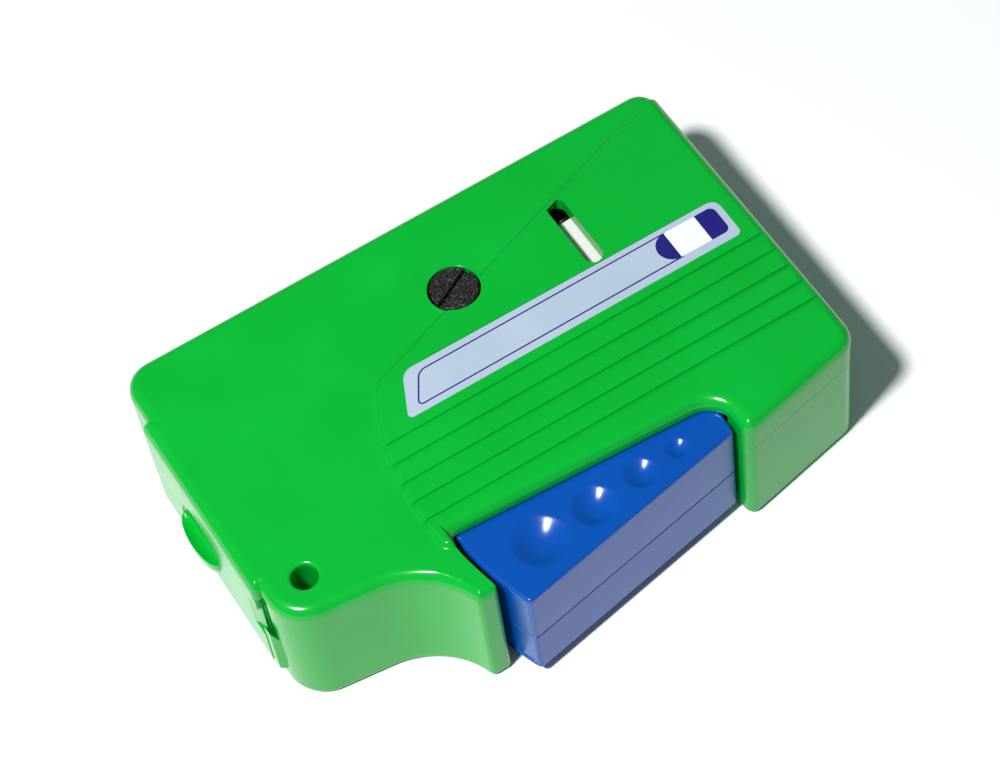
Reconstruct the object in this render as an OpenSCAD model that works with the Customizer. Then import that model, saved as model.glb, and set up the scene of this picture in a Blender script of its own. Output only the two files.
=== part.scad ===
// Fibre optic cleaning cassette with a squeeze lever.
// X runs along the case, Y from the lever side to the straight back edge, Z up.
// The origin is the middle of the base, on the surface that the cassette lies on.

/* [Case] */
// Length of the case from the end face to the other end
case_l = 125; // [120:0.5:132]
// Depth from the back edge to the lever's outer corner
case_d = 88; // [87:0.5:92]
// Height of the plain part of the top face
case_h = 31.9; // [31.4:0.1:34]
// Rise of the grip pad above the plain face
pad_rise = 1; // [0.6:0.1:1.3]
// Thickness of the side walls
wall = 2.2; // [1.8:0.1:2.4]
// Thickness of the top plate
plate_t = 2; // [1.6:0.1:2.2]
// Thickness of the floor
floor_t = 2.4; // [2:0.1:2.6]
// Rounding of the top edges
edge_r = 2.5; // [1.5:0.1:2.5]
// Rounding of the bottom edges
foot_r = 1.5; // [1:0.1:1.6]
// Height of the joint between the two shells
parting_z = 24.9; // [24:0.1:25.5]
// Corner radius at the left end of the back edge
back_left_r = 6; // [4:0.5:8]
// Corner radius at the right end of the back edge
back_right_r = 4.5; // [3:0.5:6]
// Corner radius at the right end of the front
front_right_r = 5; // [3:0.5:6]
// Length of the solid block to the right of the lever
block_l = 29.8; // [28:0.2:31]
// Slant of the block's front face in degrees
block_a = 11.6; // [9:0.2:13]

/* [Lever] */
// Gap between the lever's left end and the end of the case
lever_x = 38.2; // [37:0.2:40]
// Slant of the lever's outer face in degrees
lever_a = 10.5; // [9:0.1:11]
// Thickness of the lever's walls
lever_wall = 2.2; // [1.8:0.1:2.4]
// Gap between the lever's end and the nose
lever_gap = 1.3; // [0.8:0.1:1.5]
// Radius of the steel pin that the lever turns on
lever_pin_r = 1.5; // [1.2:0.1:1.8]
// Angle that the lever swings through when it is squeezed
lever_swing = 9; // [6:0.5:9]

/* [Grip and label] */
// Spacing of the grip grooves
groove_pitch = 4.65; // [4.2:0.05:4.8]
// Depth of the grip grooves
groove_deep = 0.4; // [0.3:0.05:0.5]
// Width of each groove's ramp
groove_w = 1.3; // [0.8:0.1:1.6]
// Height of the label
label_w = 10; // [8:0.2:10.4]
// Length of the label
label_l = 73; // [60:1:75]

/* [Tape drive] */
// Width of the cleaning tape
tape_w = 18; // [16:0.5:18.5]
// Radius of the tape left on the supply reel
supply_roll_r = 17.5; // [12:0.5:18.5]
// Radius of the used tape on the take-up reel
takeup_roll_r = 13; // [9:0.5:16]
// Outer radius of the supply reel's flanges
flange_r = 22.5; // [20:0.5:24]
// Size of one gear tooth, pitch diameter over tooth count
gear_module = 1; // [0.9:0.05:1.02]
// Teeth on the drive pinion
pinion_teeth = 12; // [11:1:13]
// Teeth on the take-up reel
takeup_teeth = 41; // [38:1:41]
// Radius of the slotted head of the drive shaft
head_r = 5.3; // [4.5:0.1:5.5]
// Radius of the lanyard hole
hole_r = 2.6; // [2:0.1:3]
// Travel of the shutter over the end of the case
shutter_travel = 9.86; // [8:0.02:10]

/* [Hidden] */

$fn = 48;
green = [0.02, 0.72, 0.22];
blue = [0.0, 0.30, 0.75];
black = [0.06, 0.06, 0.07];
steel = [0.72, 0.73, 0.75];
white = [0.93, 0.93, 0.92];
grey = [0.45, 0.47, 0.50];
label_tint = [0.75, 0.80, 0.88];

// cuts run past a face by this much
over = 1;
// flat faces of pieces that are fastened together lie this far apart
seat = 0.05;
// running clearance of a shaft in its bore, on the radius
run = 0.05;
// space kept between pieces that move past each other
free = 0.4;
// smallest corner radius left when an outline is drawn in
min_r = 0.2;
// share of an inset that the wall beside the lever's end takes
gap_share = 0.25;
arc_steps = 4;

// the end of the case: its face lies back, and a hood stands forward over the shutter
end_step = 1.5;
hood_y = 12.3;
hood_end_y = case_d - 30.2;
hood_r = 1.2;
hood_step = 0.15;
hood_z = case_h - 4.6;

// places along the front, measured from the back edge
pivot = [case_l - block_l - 4.2, -(case_d - 20.8)];
block_x = case_l - block_l;
block_y = case_d - 6.1;
block_r = 2;
recess_y = case_d - 19.8;
recess_a = 3.35;
recess_r = 5.5;
lever_r = pivot.x - lever_x;
gap_r = lever_r + lever_gap;
gap_x = pivot.x - gap_r;

// the nose with its lanyard hole, finger scoop and blunt tip
hole_c = [9.9, -(case_d - 27.4)];
nose_r = hole_c.x - end_step;
scoop_c = [17.2, -case_d];
scoop_r = 17.9;
tip_y = case_d - 4.8;
tip_r = 1.2;
tip_solid = 7;
hole_wall = 1.8;
hole_rim = 0.8;
nose_line = hole_c.y + 0.7;

ceiling = case_h - plate_t;
pad_z = case_h + pad_rise;
dome_r = 9.5;
dome_h = 3.2;
shutter_x = 0.1;
org = [-(case_l - dome_h + shutter_x) / 2, case_d / 2];

function arc(c, r, a0, a1, n) =
    [for (k = [0:n]) let (a = a0 + (a1 - a0) * k / n) c + r * [cos(a), sin(a)]];
// radius of a corner after an inset, and how far its centre then lies from the outer line
function eff(r, i) = max(r - i, min_r);
function off(r, i) = i + eff(r, i);
function block_front(x) = -block_y + tan(block_a) * (x - block_x);
function recess_wall(x) = -recess_y - tan(recess_a) * (x - gap_x);

scoop_v = scoop_c - hole_c;
scoop_dir = atan2(scoop_v.y, scoop_v.x) - acos((nose_r + scoop_r) / norm(scoop_v));
recess_c = [block_x - recess_r, recess_wall(block_x - recess_r) - recess_r / cos(recess_a)];

// the tip of the nose is solid, so the inside of the case stops short of it
function tip_line(i) = -tip_y + off(tip_r, i) + (i < wall ? 0 : tip_solid);
function tip_a(i) = let (q = off(tip_r, i), y = tip_line(i))
    [scoop_c.x + sqrt(pow(scoop_r + q, 2) - pow(y - scoop_c.y, 2)), y];
function tip_b(i, j) = let (y = tip_line(i), d = gap_r + j + eff(tip_r, i))
    [pivot.x - sqrt(d * d - pow(y - pivot.y, 2)), y];
function front_c(i) = let (q = off(front_right_r, i), x = case_l - q)
    [x, block_front(x) + q / cos(block_a)];
function block_c(i) = let (q = off(block_r, i), x = block_x + q)
    [x, block_front(x) + q / cos(block_a)];

// the nose and its tip, from the end face to the inner corner of the recess
function nose_part(i, j) =
    let (a = tip_a(i), b = tip_b(i, j), va = a - scoop_c, vb = pivot - b,
         ang_a = atan2(va.y, va.x), ang_b = atan2(vb.y, vb.x))
    concat(arc(hole_c, nose_r - i, 180, 360 + scoop_dir, 12),
           arc(scoop_c, scoop_r + i, 180 + scoop_dir, ang_a, 12),
           arc(a, eff(tip_r, i), 180 + ang_a, 270, 3),
           arc(b, eff(tip_r, i), 270, 360 + ang_b, 3),
           arc(pivot, gap_r + j, 180 + ang_b, 180 - asin((-recess_y + i - pivot.y) / (gap_r + j)), 6));
// the recess behind the lever and the block to its right, up to the right end
function front_part(i) =
    concat(arc(recess_c, recess_r + i, 90 - recess_a, 0, 8),
           arc(block_c(i), eff(block_r, i), 180, 270 + block_a, 4),
           arc(front_c(i), eff(front_right_r, i), 270 + block_a, 360, 8));
function back_right(i) =
    let (q = off(back_right_r, i)) arc([case_l - q, -q], eff(back_right_r, i), 0, 90, 6);
function back_left(i) =
    let (q = off(back_left_r, i)) arc([end_step + q, -q], eff(back_left_r, i), 90, 180, 8);
// the end face, which is plain when h is 0 and stands forward as the hood when h is 1
hood_steps = 3;
function end_part(i, h) =
    let (q = off(hood_r, i), r = eff(hood_r, i), n = 2 * hood_steps + 3)
    h == 0 ? [for (k = [0:n]) [end_step + i, -hood_y - (hood_end_y - hood_y) * k / n]]
           : concat([[end_step + i, -hood_y - i]],
                    arc([q, -hood_y - q], r, 90, 180, hood_steps),
                    arc([q, -hood_end_y + q], r, 180, 270, hood_steps),
                    [[end_step + i, -hood_end_y + i]]);
// the whole plan of the case, drawn in by i, and by j beside the lever's end
function case_outline(i, j, h) =
    concat(back_right(i), back_left(i), end_part(i, h), nose_part(i, j), front_part(i));

// stations of a rounded edge as pairs of inset and height
function top_edge(h, r) =
    [for (k = [0:arc_steps]) let (a = 90 * k / arc_steps) [r * (1 - cos(a)), h - r * (1 - sin(a))]];
function low_edge(h, r) =
    [for (k = [arc_steps:-1:0]) let (a = 90 * k / arc_steps) [r * (1 - cos(a)), h + r * (1 - sin(a))]];

// triangles that fill a flat outline which may turn inwards: ids count through pts anticlockwise,
// and one corner after another is cut off where no other point lies in the way
function side_of(a, b, p) = (b.x - a.x) * (p.y - a.y) - (b.y - a.y) * (p.x - a.x);
least_area = 1e-7;
function is_ear(pts, ids, a, b, c) =
    side_of(pts[a], pts[b], pts[c]) > least_area &&
    len([for (k = ids) if (k != a && k != b && k != c &&
        side_of(pts[a], pts[b], pts[k]) > -least_area && side_of(pts[b], pts[c], pts[k]) > -least_area &&
        side_of(pts[c], pts[a], pts[k]) > -least_area) k]) == 0;
function ears(pts, ids, i = 0, done = [], missed = 0) =
    let (n = len(ids), k = i % n, a = ids[(k + n - 1) % n], b = ids[k], c = ids[(k + 1) % n])
    n == 3 ? concat(done, [ids]) :
    missed > n ? echo(corners_left = [for (j = ids) pts[j]]) done :
    is_ear(pts, ids, a, b, c)
        ? ears(pts, [for (j = [0:n - 1]) if (j != k) ids[j]], k + 1, concat(done, [[a, b, c]]), 0)
        : ears(pts, ids, k + 1, done, missed + 1);
// two arcs that meet share a point, and only one of the pair is kept for filling a face
same_point = 1e-4;
function filled(pts, ids) =
    let (n = len(ids))
    ears(pts, [for (j = [0:n - 1]) if (norm(pts[ids[j]] - pts[ids[(j + n - 1) % n]]) > same_point) ids[j]]);
function turned(tris) = [for (t = tris) [t[2], t[1], t[0]]];

// a skin through rings that all have the same number of points
module loft(rings, heights) {
    n = len(rings[0]);
    last = len(rings) - 1;
    points = [for (k = [0:last]) for (p = rings[k]) [p.x, p.y, heights[k]]];
    sides = [for (k = [0:last - 1]) for (i = [0:n - 1]) let (i2 = (i + 1) % n)
        each [[k * n + i, (k + 1) * n + i, (k + 1) * n + i2],
              [k * n + i, (k + 1) * n + i2, k * n + i2]]];
    polyhedron(points, concat(sides, filled(points, [for (i = [0:n - 1]) i]),
                              turned(filled(points, [for (i = [0:n - 1]) last * n + i]))), convexity = 8);
}
module slab(pts, z0, z1) {
    translate([0, 0, z0]) linear_extrude(z1 - z0) polygon(pts);
}
module post(c, r, z0, z1) {
    translate([c.x, c.y, z0]) cylinder(r = r, h = z1 - z0);
}
module block(x0, x1, y0, y1, z0, z1) {
    translate([x0, y0, z0]) cube([x1 - x0, y1 - y0, z1 - z0]);
}
module stadium(c0, c1, r, z0, z1) {
    v = c1 - c0;
    post(c0, r, z0, z1);
    post(c1, r, z0, z1);
    translate([c0.x, c0.y, z0]) rotate([0, 0, atan2(v.y, v.x)]) translate([0, -r, 0])
        cube([norm(v), 2 * r, z1 - z0]);
}
module placed() {
    translate([org.x, org.y, 0]) children();
}

// the edge of the raised grip pad, out by g: a slanting line, a corner and a curved left side
pad_c = [pivot.x + 4, -(case_d - 26)];
pad_r = pad_c.x - 35;
pad_start = [case_l - 4.2, -back_right_r - 0.6];
pad_corner = [43, -(case_d - 55.8)];
pad_foot_y = case_d - 19;
pad_ramp = 1;
function pad_edge(g) =
    let (v = pad_corner - pad_start, m = [v.y, -v.x] / norm(v),
         a0 = 180 - asin((pad_corner.y - pad_ramp - pad_c.y) / pad_r),
         a1 = 180 - asin((-pad_foot_y - pad_c.y) / pad_r))
    concat([for (t = [0:0.2:1]) pad_start + v * t * (1 - pad_ramp / norm(v)) + m * g],
           arc(pad_c, pad_r + g, a0, a1, 10));

// the outside of both shells together: rings up to the rounded top edge, then the two top
// faces and the ramp between them. The points of the front stand higher, by the pad's rise.
pad_ends = 2;
module case_body() {
    low = concat(low_edge(0, foot_r), [[0, hood_z - hood_step]]);
    top = concat([[0, hood_z]], top_edge(case_h, edge_r));
    rings = concat([for (e = low) case_outline(e[0], e[0] * gap_share, 0)],
                   [for (e = top) case_outline(e[0], e[0] * gap_share, 1)]);
    n = len(rings[0]);
    last = len(rings) - 1;
    first = n - len(front_part(0)) - pad_ends;
    heights = [for (e = concat(low, top)) e[1]];
    upper = pad_edge(0);
    lower = pad_edge(pad_ramp);
    m = len(upper);
    u = (last + 1) * n;
    w = u + m;
    points = concat([for (k = [0:last]) for (i = [0:n - 1])
                        let (lift = k > len(low) && (i == 0 || i >= first) ? pad_rise : 0)
                        [rings[k][i].x, rings[k][i].y, heights[k] + lift]],
                    [for (p = upper) [p.x, p.y, pad_z]],
                    [for (p = lower) [p.x, p.y, case_h]]);
    sides = [for (k = [0:last - 1]) for (i = [0:n - 1]) let (i2 = (i + 1) % n)
        each [[k * n + i, (k + 1) * n + i, (k + 1) * n + i2],
              [k * n + i, (k + 1) * n + i2, k * n + i2]]];
    ramp = [for (i = [0:m - 2]) each [[u + i, u + i + 1, w + i + 1], [u + i, w + i + 1, w + i]]];
    r = last * n;
    ends = [[r, u, w], [r, w, r + 1],
            [r + first, r + first - 1, w + m - 1], [r + first, w + m - 1, u + m - 1]];
    pad_top = concat([for (i = [first:n - 1]) r + i], [r], [for (i = [0:m - 1]) u + i]);
    plain_top = concat([for (i = [1:first - 1]) r + i], [for (i = [m - 1:-1:0]) w + i]);
    polyhedron(points, concat(filled(points, [for (i = [0:n - 1]) i]), sides, ramp, ends,
                              turned(filled(points, pad_top)), turned(filled(points, plain_top))), convexity = 8);
}
groove_y0 = case_d - 42.9;
groove_count = 5;
module grooves() {
    for (k = [0:groove_count - 1])
        translate([0, -groove_y0 - k * groove_pitch, pad_z])
            rotate([90, 0, 90]) linear_extrude(case_l + over)
                polygon([[0, over], [0, -groove_deep], [-groove_w, 0], [-groove_w, over]]);
}

// the label lies in a shallow recess of the pad
label_t = 0.3;
label_sink = 0.2;
label_slant = 5.6;
label_r = 1.5;
label_corner = [case_l - 4.8, -(case_d - 45)];
label_turn = 0.55;
module label_shape(grow) {
    w = label_w / 2 - label_r;
    r = label_r + grow;
    translate([label_corner.x, label_corner.y + label_w / 2]) rotate(-label_turn)
        polygon(concat(arc([-label_r, w], r, 0, 90, 6), arc([-label_l + label_slant, w], r, 90, 180, 6),
                       arc([-label_l, -w], r, 180, 270, 6), arc([-label_r, -w], r, 270, 360, 6)));
}

// window over the supply reel, and the round hole for the drive shaft's head
supply_c = [case_l - 29, -39];
window_r = 1.95;
window_x = supply_c.x - 2.75;
window_y0 = 16.5;
window_y1 = 30.4;
shaft_c = [66.6, -20.9];
head_hole_r = head_r + 0.45;
rim_r = 0.5;
// a bore with a rounded upper rim
module rimmed_hole(c, r, z0, z1, rim) {
    translate([c.x, c.y, 0]) rotate_extrude()
        polygon(concat([[0, z0], [r, z0]],
                       [for (k = [0:4]) let (a = 90 * k / 4) [r + rim * (1 - cos(a)), z1 - rim * (1 - sin(a))]],
                       [[r + rim, z1 + over + over], [0, z1 + over + over]]));
}

// screws hold the shells together from below
screw_at = [[22, -5.4], [70, -5.4], [case_l - 6.5, -6.5], [case_l - 13, -(case_d - 18)], [20, -(case_d - 23)]];
screw_boss_r = 2.9;
screw_head_r = 2.6;
screw_head_h = 1.5;
screw_sink = 1.7;
screw_hole_r = 1.6;
screw_shank_r = 1.25;
screw_l = 14;
screw_boss_z = floor_t + 2;
screw_pilot = 1.5;

// levels inside: bars and ratchet on the floor, lugs and flanges over them, then the tape
root_z = floor_t - free;
bar_z0 = floor_t + 0.4;
bar_z1 = bar_z0 + 2;
flange_z0 = bar_z1 + 0.5;
flange_t = 2;
flange_z1 = flange_z0 + flange_t;
tape_z0 = flange_z1 + 0.7;
tape_z1 = tape_z0 + tape_w;
reel_top = tape_z1 + 2.4;
spindle_r = 3;
spindle_z = reel_top + 0.3;

pinion_r = gear_module * pinion_teeth / 2;
gear_r = gear_module * takeup_teeth / 2;
takeup_drop = 7.8;
takeup_c = [shaft_c.x - sqrt(pow(pinion_r + gear_r, 2) - takeup_drop * takeup_drop), shaft_c.y - takeup_drop];
mesh_a = atan2(shaft_c.y - takeup_c.y, shaft_c.x - takeup_c.x);

// the cleaning head: a window in the end wall, two slots, the rubber platen behind the tape
head_y0 = case_d - 40.5;
head_y1 = case_d - 32.9;
head_z0 = tape_z0 + 1;
head_z1 = tape_z1 - 1;
slot_w = 2.6;
slot_gap = 1.2;
platen_x = end_step + wall + 1.2;
platen_t = 2.5;
platen_r = 1;
holder_t = 2.2;

roller_r = 3.5;
roller_pin_r = 1.2;
back_roller = [12, -14];
head_roller_r = 2.4;
head_roller = [platen_x + 7.5, -(head_y1 - 2.5)];

// the lever turns on a steel pin, and its barrel lies between two low bosses
barrel_r = 4.4;
barrel_core_r = barrel_r - lever_wall / 4;
lever_z0 = floor_t + free;
skirt_t = 6.5;
skirt_z = bar_z1 + 0.3;
lever_z1 = ceiling - 0.5;
seam_share = 0.46;
lever_split = lever_z0 + (lever_z1 - lever_z0) * seam_share;
lever_corner_r = 1;
lever_edge_r = 0.6;
lever_right = block_x - 0.8;
lever_back_y = recess_y - 3.7;
boss_play = 0.2;
pin_end = 1.2;

// the channel beside the nose
channel_w = 2.2;
channel_deep = 1.7;
channel_z0 = 11;
channel_z1 = case_h - 2.4;

// the tab of the shutter runs through a slot in the end wall
tab_w = 6;
tab_y = case_d - 49;
tab_t = 1.5;
tab_z0 = bar_z1 + 0.1;
tab_l = 9;
shutter_t = 1.3;
shutter_z0 = 4;

module screw_posts(z0, z1, r) {
    for (c = screw_at) post(c, r, z0, z1);
}
module lever_mouth() {
    block(lever_x - free, block_x + wall + over, recess_c.y + screw_pilot, -recess_y + wall + over, floor_t, ceiling);
}
module nose_column() {
    block(-over, gap_x + wall, -case_d, nose_line, -over, pad_z + over);
}
module head_window() {
    block(0, end_step + wall + over, -head_y1, -head_y0, head_z0, head_z1);
}
module channel() {
    block(-over, end_step + channel_deep, -hood_end_y - channel_w, -hood_end_y - seat, channel_z0, channel_z1);
}

module upper_shell() {
    color(green) placed() difference() {
        union() {
            difference() {
                intersection() {
                    case_body();
                    union() {
                        block(-over, case_l + over, -case_d, over, parting_z, pad_z + over);
                        nose_column();
                    }
                }
                slab(case_outline(wall, wall, 0), -over, ceiling);
                lever_mouth();
                post(shaft_c, head_hole_r, 0, pad_z + over);
            }
            post(hole_c, hole_r + hole_wall, 0, ceiling + seat);
            post(pivot, barrel_r - 1, lever_z1 + boss_play, ceiling + seat);
            screw_posts(screw_boss_z + seat, ceiling + seat, screw_boss_r);
        }
        grooves();
        translate([0, 0, pad_z - label_sink]) linear_extrude(over) label_shape(seat);
        rimmed_hole(hole_c, hole_r, -over, case_h, hole_rim);
        stadium([window_x, -window_y0], [window_x, -window_y1], window_r, ceiling - over, pad_z + over);
        screw_posts(0, screw_l + screw_pilot, screw_shank_r);
        post(pivot, lever_pin_r, 0, ceiling + pin_end);
        head_window();
        channel();
    }
}

module lower_shell() {
    color(green) placed() difference() {
        union() {
            difference() {
                intersection() {
                    case_body();
                    block(-over, case_l + over, -case_d, over, -over, parting_z - seat);
                }
                slab(case_outline(wall, wall, 0), floor_t, case_h);
                lever_mouth();
                nose_column();
            }
            // a tongue of the floor closes the nose from below
            intersection() {
                slab(case_outline(wall + seat, wall + seat, 0), boss_play, root_z + boss_play);
                block(-over, gap_x + 2 * wall, -case_d, nose_line + wall, 0, floor_t);
            }
            screw_posts(root_z, screw_boss_z, screw_boss_r);
            post(pivot, barrel_r - 1, root_z, skirt_z - boss_play);
            post(supply_c, spindle_r + 1.2, root_z, flange_z0 - boss_play);
            post(takeup_c, spindle_r + 1.2, root_z, flange_z0 - boss_play);
            post(supply_c, spindle_r, bar_z0, spindle_z);
            post(takeup_c, spindle_r, bar_z0, spindle_z);
            slider_guides();
            spring_seat();
            brake_anchor();
            post(check_c, check_pin_r, root_z, bar_z1);
        }
        post(hole_c, hole_r + hole_wall + seat, -over, floor_t + over);
        screw_posts(-over, screw_boss_z + over, screw_hole_r);
        screw_posts(-over, screw_sink, screw_head_r + seat);
        post(pivot, lever_pin_r, pin_end, skirt_z + over);
        post(shaft_c, journal_r + run, journal_z0 - seat, floor_t + over);
        post(back_roller, roller_pin_r, pin_end, floor_t + over);
        post(head_roller, roller_pin_r, pin_end, floor_t + over);
        head_window();
        channel();
        block(0, end_step + wall + over, -tab_y - tab_w / 2 - free,
              -tab_y + tab_w / 2 + shutter_travel + free, tab_z0 - seat, tab_z0 + tab_t + seat);
    }
}

module case_screws() {
    color(steel) placed() for (c = screw_at) difference() {
        union() {
            post(c, screw_head_r, screw_sink - screw_head_h, screw_sink);
            post(c, screw_shank_r, screw_sink - seat, screw_l);
        }
        // cross recess
        for (a = [0, 90]) translate([c.x, c.y, 0]) rotate([0, 0, a])
            translate([-screw_shank_r, -rim_r / 2, 0]) cube([2 * screw_shank_r, rim_r, screw_sink - screw_head_h / 2]);
    }
}

module label_plate() {
    color(label_tint) placed()
        translate([0, 0, pad_z - label_sink]) linear_extrude(label_t) label_shape(0);
}

// plan of the lever, drawn in by i: an end struck from the pivot, the slanting face, the barrel
lever_corner_c = let (y = -case_d + lever_corner_r, d = lever_r - lever_corner_r)
    [pivot.x - sqrt(d * d - pow(y - pivot.y, 2)), y];
function lever_face(x) =
    lever_corner_c.y - lever_corner_r / cos(lever_a) + tan(lever_a) * (x - lever_corner_c.x);
function lever_outline(i) =
    let (q = off(lever_corner_r, i), r = eff(lever_corner_r, i),
         v = pivot - lever_corner_c, a = atan2(v.y, v.x),
         xr = lever_right - q)
    concat(arc(pivot, lever_r - i, 180 - asin((-lever_back_y - i - pivot.y) / (lever_r - i)), 180 + a, 8),
           arc(lever_corner_c, r, 180 + a, 270 + lever_a, 5),
           arc([xr, lever_face(xr) + q / cos(lever_a)], r, 270 + lever_a, 360, 4),
           arc(pivot, barrel_r - i, -8, 92, 8));

dimple_share = [[0.755, 5.05, 1.4], [0.53, 3.85, 1.2], [0.32, 2.9, 1.0], [0.14, 1.9, 0.7]];
dimple_y = 10.2;
// a shallow round hollow of radius a and depth h
module dimple(a, h) {
    r = (a * a + h * h) / (2 * h);
    translate([0, 0, r - h]) sphere(r, $fn = 96);
}
lever_screw_at = [[lever_corner_c.x + 6, lever_corner_c.y + 12], [pivot.x - 16, pivot.y - 5.6]];
lever_screw_r = 1.1;
lever_boss_r = 2.6;
// how far the two halves' lugs reach
stop_x = gap_x - 1.5;
stop_t = 2.6;

// a lug of the lever with its drive pin, in line with the back of the lever
lug_z0 = bar_z1 + 0.6;
lug_t = 2;
lug_r = 2.3;
drive_pin_r = 1.2;
shutter_pin = [lever_x - 10.7, -(recess_y - 6.7)];
feed_pin = [pivot.x - 29, -(recess_y - 7.2)];
module lever_lug(c, root) {
    end = [root, -lever_back_y - lever_wall / 2];
    a = atan2(end.y - c.y, end.x - c.x);
    slab(concat(arc(c, lug_r, a + 90, a + 270, 8), arc(end, lug_r, a - 90, a + 90, 8)), lug_z0, lug_z0 + lug_t);
    post(c, drive_pin_r, bar_z0, lug_z0 + lug_t / 2);
}
// sideways travel of a drive pin while the lever swings
function pin_dx(c) = (c.x - pivot.x) * (cos(lever_swing) - 1) + (c.y - pivot.y) * sin(lever_swing);

module lever_upper() {
    edge = concat([[0, lever_split]], top_edge(lever_z1, lever_edge_r));
    color(blue) placed() difference() {
        union() {
            difference() {
                loft([for (e = edge) lever_outline(e[0])], [for (e = edge) e[1]]);
                slab(lever_outline(lever_wall), lever_split - over, lever_z1 - lever_wall);
            }
            post(pivot, barrel_core_r, lever_split, lever_z1 - lever_wall + seat);
            for (c = lever_screw_at) post(c, lever_boss_r, lever_split, lever_z1 - lever_wall + seat);
            block(stop_x, lever_x + stop_t, -lever_back_y - stop_t / 2, -lever_back_y, lever_split, lever_z1 - stop_t);
        }
        for (d = dimple_share)
            translate([pivot.x - lever_r * d[0] + 0.5, pivot.y - dimple_y + d[0] * 0.2, lever_z1]) dimple(d[1], d[2]);
        post(pivot, lever_pin_r + run, 0, case_h);
        for (c = lever_screw_at) post(c, lever_screw_r, 0, lever_split + 6);
    }
}

module lever_lower() {
    edge = concat(low_edge(lever_z0, lever_edge_r), [[0, lever_split - seat]]);
    color(blue) placed() difference() {
        union() {
            difference() {
                loft([for (e = edge) lever_outline(e[0])], [for (e = edge) e[1]]);
                slab(lever_outline(lever_wall), skirt_z + lever_wall, lever_split + over);
                // behind the skirt the lever stays clear of the sliding bars
                translate([lever_corner_c.x, lever_face(lever_corner_c.x), 0]) rotate([0, 0, lever_a])
                    block(-case_d, case_l, skirt_t, case_d, 0, skirt_z);
            }
            post(pivot, barrel_core_r, skirt_z + lever_wall - seat, lever_split - seat);
            for (c = lever_screw_at) post(c, lever_boss_r, skirt_z + lever_wall - seat, lever_split - seat);
            block(stop_x, lever_x + stop_t, -lever_back_y - stop_t / 2, -lever_back_y,
                  skirt_z + stop_t, lever_split - seat);
            difference() {
                lever_lug(shutter_pin, lever_x + lug_r);
                block(stop_x - lug_r, lever_x, -case_d, -recess_y + wall + free, 0, case_h);
            }
            lever_lug(feed_pin, feed_pin.x);
        }
        post(pivot, lever_pin_r + run, 0, case_h);
        for (c = lever_screw_at) {
            post(c, lever_screw_r + run, 0, case_h);
            post(c, lever_boss_r - wall / 4, 0, skirt_z + screw_head_h);
        }
    }
}

module lever_screws() {
    color(steel) placed() for (c = lever_screw_at) {
        post(c, lever_boss_r - wall / 4 - seat, skirt_z + screw_head_h / 4, skirt_z + screw_head_h);
        post(c, lever_screw_r, skirt_z + screw_head_h - seat, lever_split + 5);
    }
}

module lever_pin() {
    color(steel) placed() post(pivot, lever_pin_r, pin_end, ceiling + pin_end);
}

// return spring: a coil between a seat on the floor and the back of the lever
spring_x = lever_x + 12;
spring_zc = lever_split;
spring_r = 2.6;
spring_wire_r = 0.35;
spring_turns = 4;
seat_y = case_d - 35.6;
seat_t = 1.6;
seat_w = 8;
spring_len = lever_back_y - seat_y - seat_t - 2 * free;
module spring_seat() {
    block(spring_x - seat_w / 2, spring_x + seat_w / 2, -seat_y - seat_t, -seat_y, root_z, spring_zc + spring_r + over);
}
function coil_point(u) =
    let (a = 360 * spring_turns * u)
    [spring_r * cos(a), spring_r * sin(a), spring_wire_r + (spring_len - 2 * spring_wire_r) * u];
spring_rings = 8 * spring_turns;
spring_sides = 6;
module coil() {
    pts = [for (k = [0:spring_rings]) coil_point(k / spring_rings)];
    points = [for (k = [0:spring_rings]) let (a = 360 * spring_turns * k / spring_rings)
        for (s = [0:spring_sides - 1]) let (b = 360 * s / spring_sides)
            pts[k] + spring_wire_r * [cos(b) * cos(a), cos(b) * sin(a), sin(b)]];
    faces = [for (k = [0:spring_rings - 1]) for (s = [0:spring_sides - 1]) let (s2 = (s + 1) % spring_sides)
        each [[k * spring_sides + s, k * spring_sides + s2, (k + 1) * spring_sides + s2],
              [k * spring_sides + s, (k + 1) * spring_sides + s2, (k + 1) * spring_sides + s]]];
    polyhedron(points, concat(faces, [[for (s = [spring_sides - 1:-1:0]) s]],
                              [[for (s = [0:spring_sides - 1]) spring_rings * spring_sides + s]]), convexity = 10);
}
echo(spring_least_gap = (spring_len - 2 * spring_wire_r) / spring_turns - 2 * spring_wire_r);
module lever_spring() {
    color(steel) placed()
        translate([spring_x, -seat_y - seat_t - free, spring_zc]) rotate([90, 0, 0]) coil();
}

// the shutter covers the cleaning slots and slides along the end of the case
shutter_y0 = hood_y + 0.3;
shutter_y1 = hood_end_y - 0.3;
dome_c = [-(case_d - 54.5), 17.5];
wedge_w = 3.6;
wedge_z0 = 14;
wedge_z1 = 24;
module shutter() {
    sphere_r = (dome_r * dome_r + dome_h * dome_h) / (2 * dome_h);
    color(green) placed() difference() {
        union() {
            block(shutter_x, shutter_x + shutter_t, -shutter_y1, -shutter_y0, shutter_z0, hood_z - boss_play);
            intersection() {
                translate([shutter_x - dome_h + sphere_r, dome_c[0], dome_c[1]]) rotate([0, -90, 0]) sphere(sphere_r, $fn = 96);
                block(-case_d, shutter_x + seat, -case_d, 0, 0, case_h);
            }
            block(shutter_x, tab_l, -tab_y - tab_w / 2, -tab_y + tab_w / 2, tab_z0, tab_z0 + tab_t);
        }
        // finger wedge at the trailing end
        translate([shutter_x, -shutter_y1, wedge_z0]) linear_extrude(wedge_z1 - wedge_z0)
            polygon([[-over, -over], [shutter_t * 0.7, -over], [shutter_t * 0.7, 0], [0, wedge_w], [-over, wedge_w]]);
        post([tab_l - tab_w / 2, -tab_y], lever_screw_r, 0, case_h);
    }
}

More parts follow.
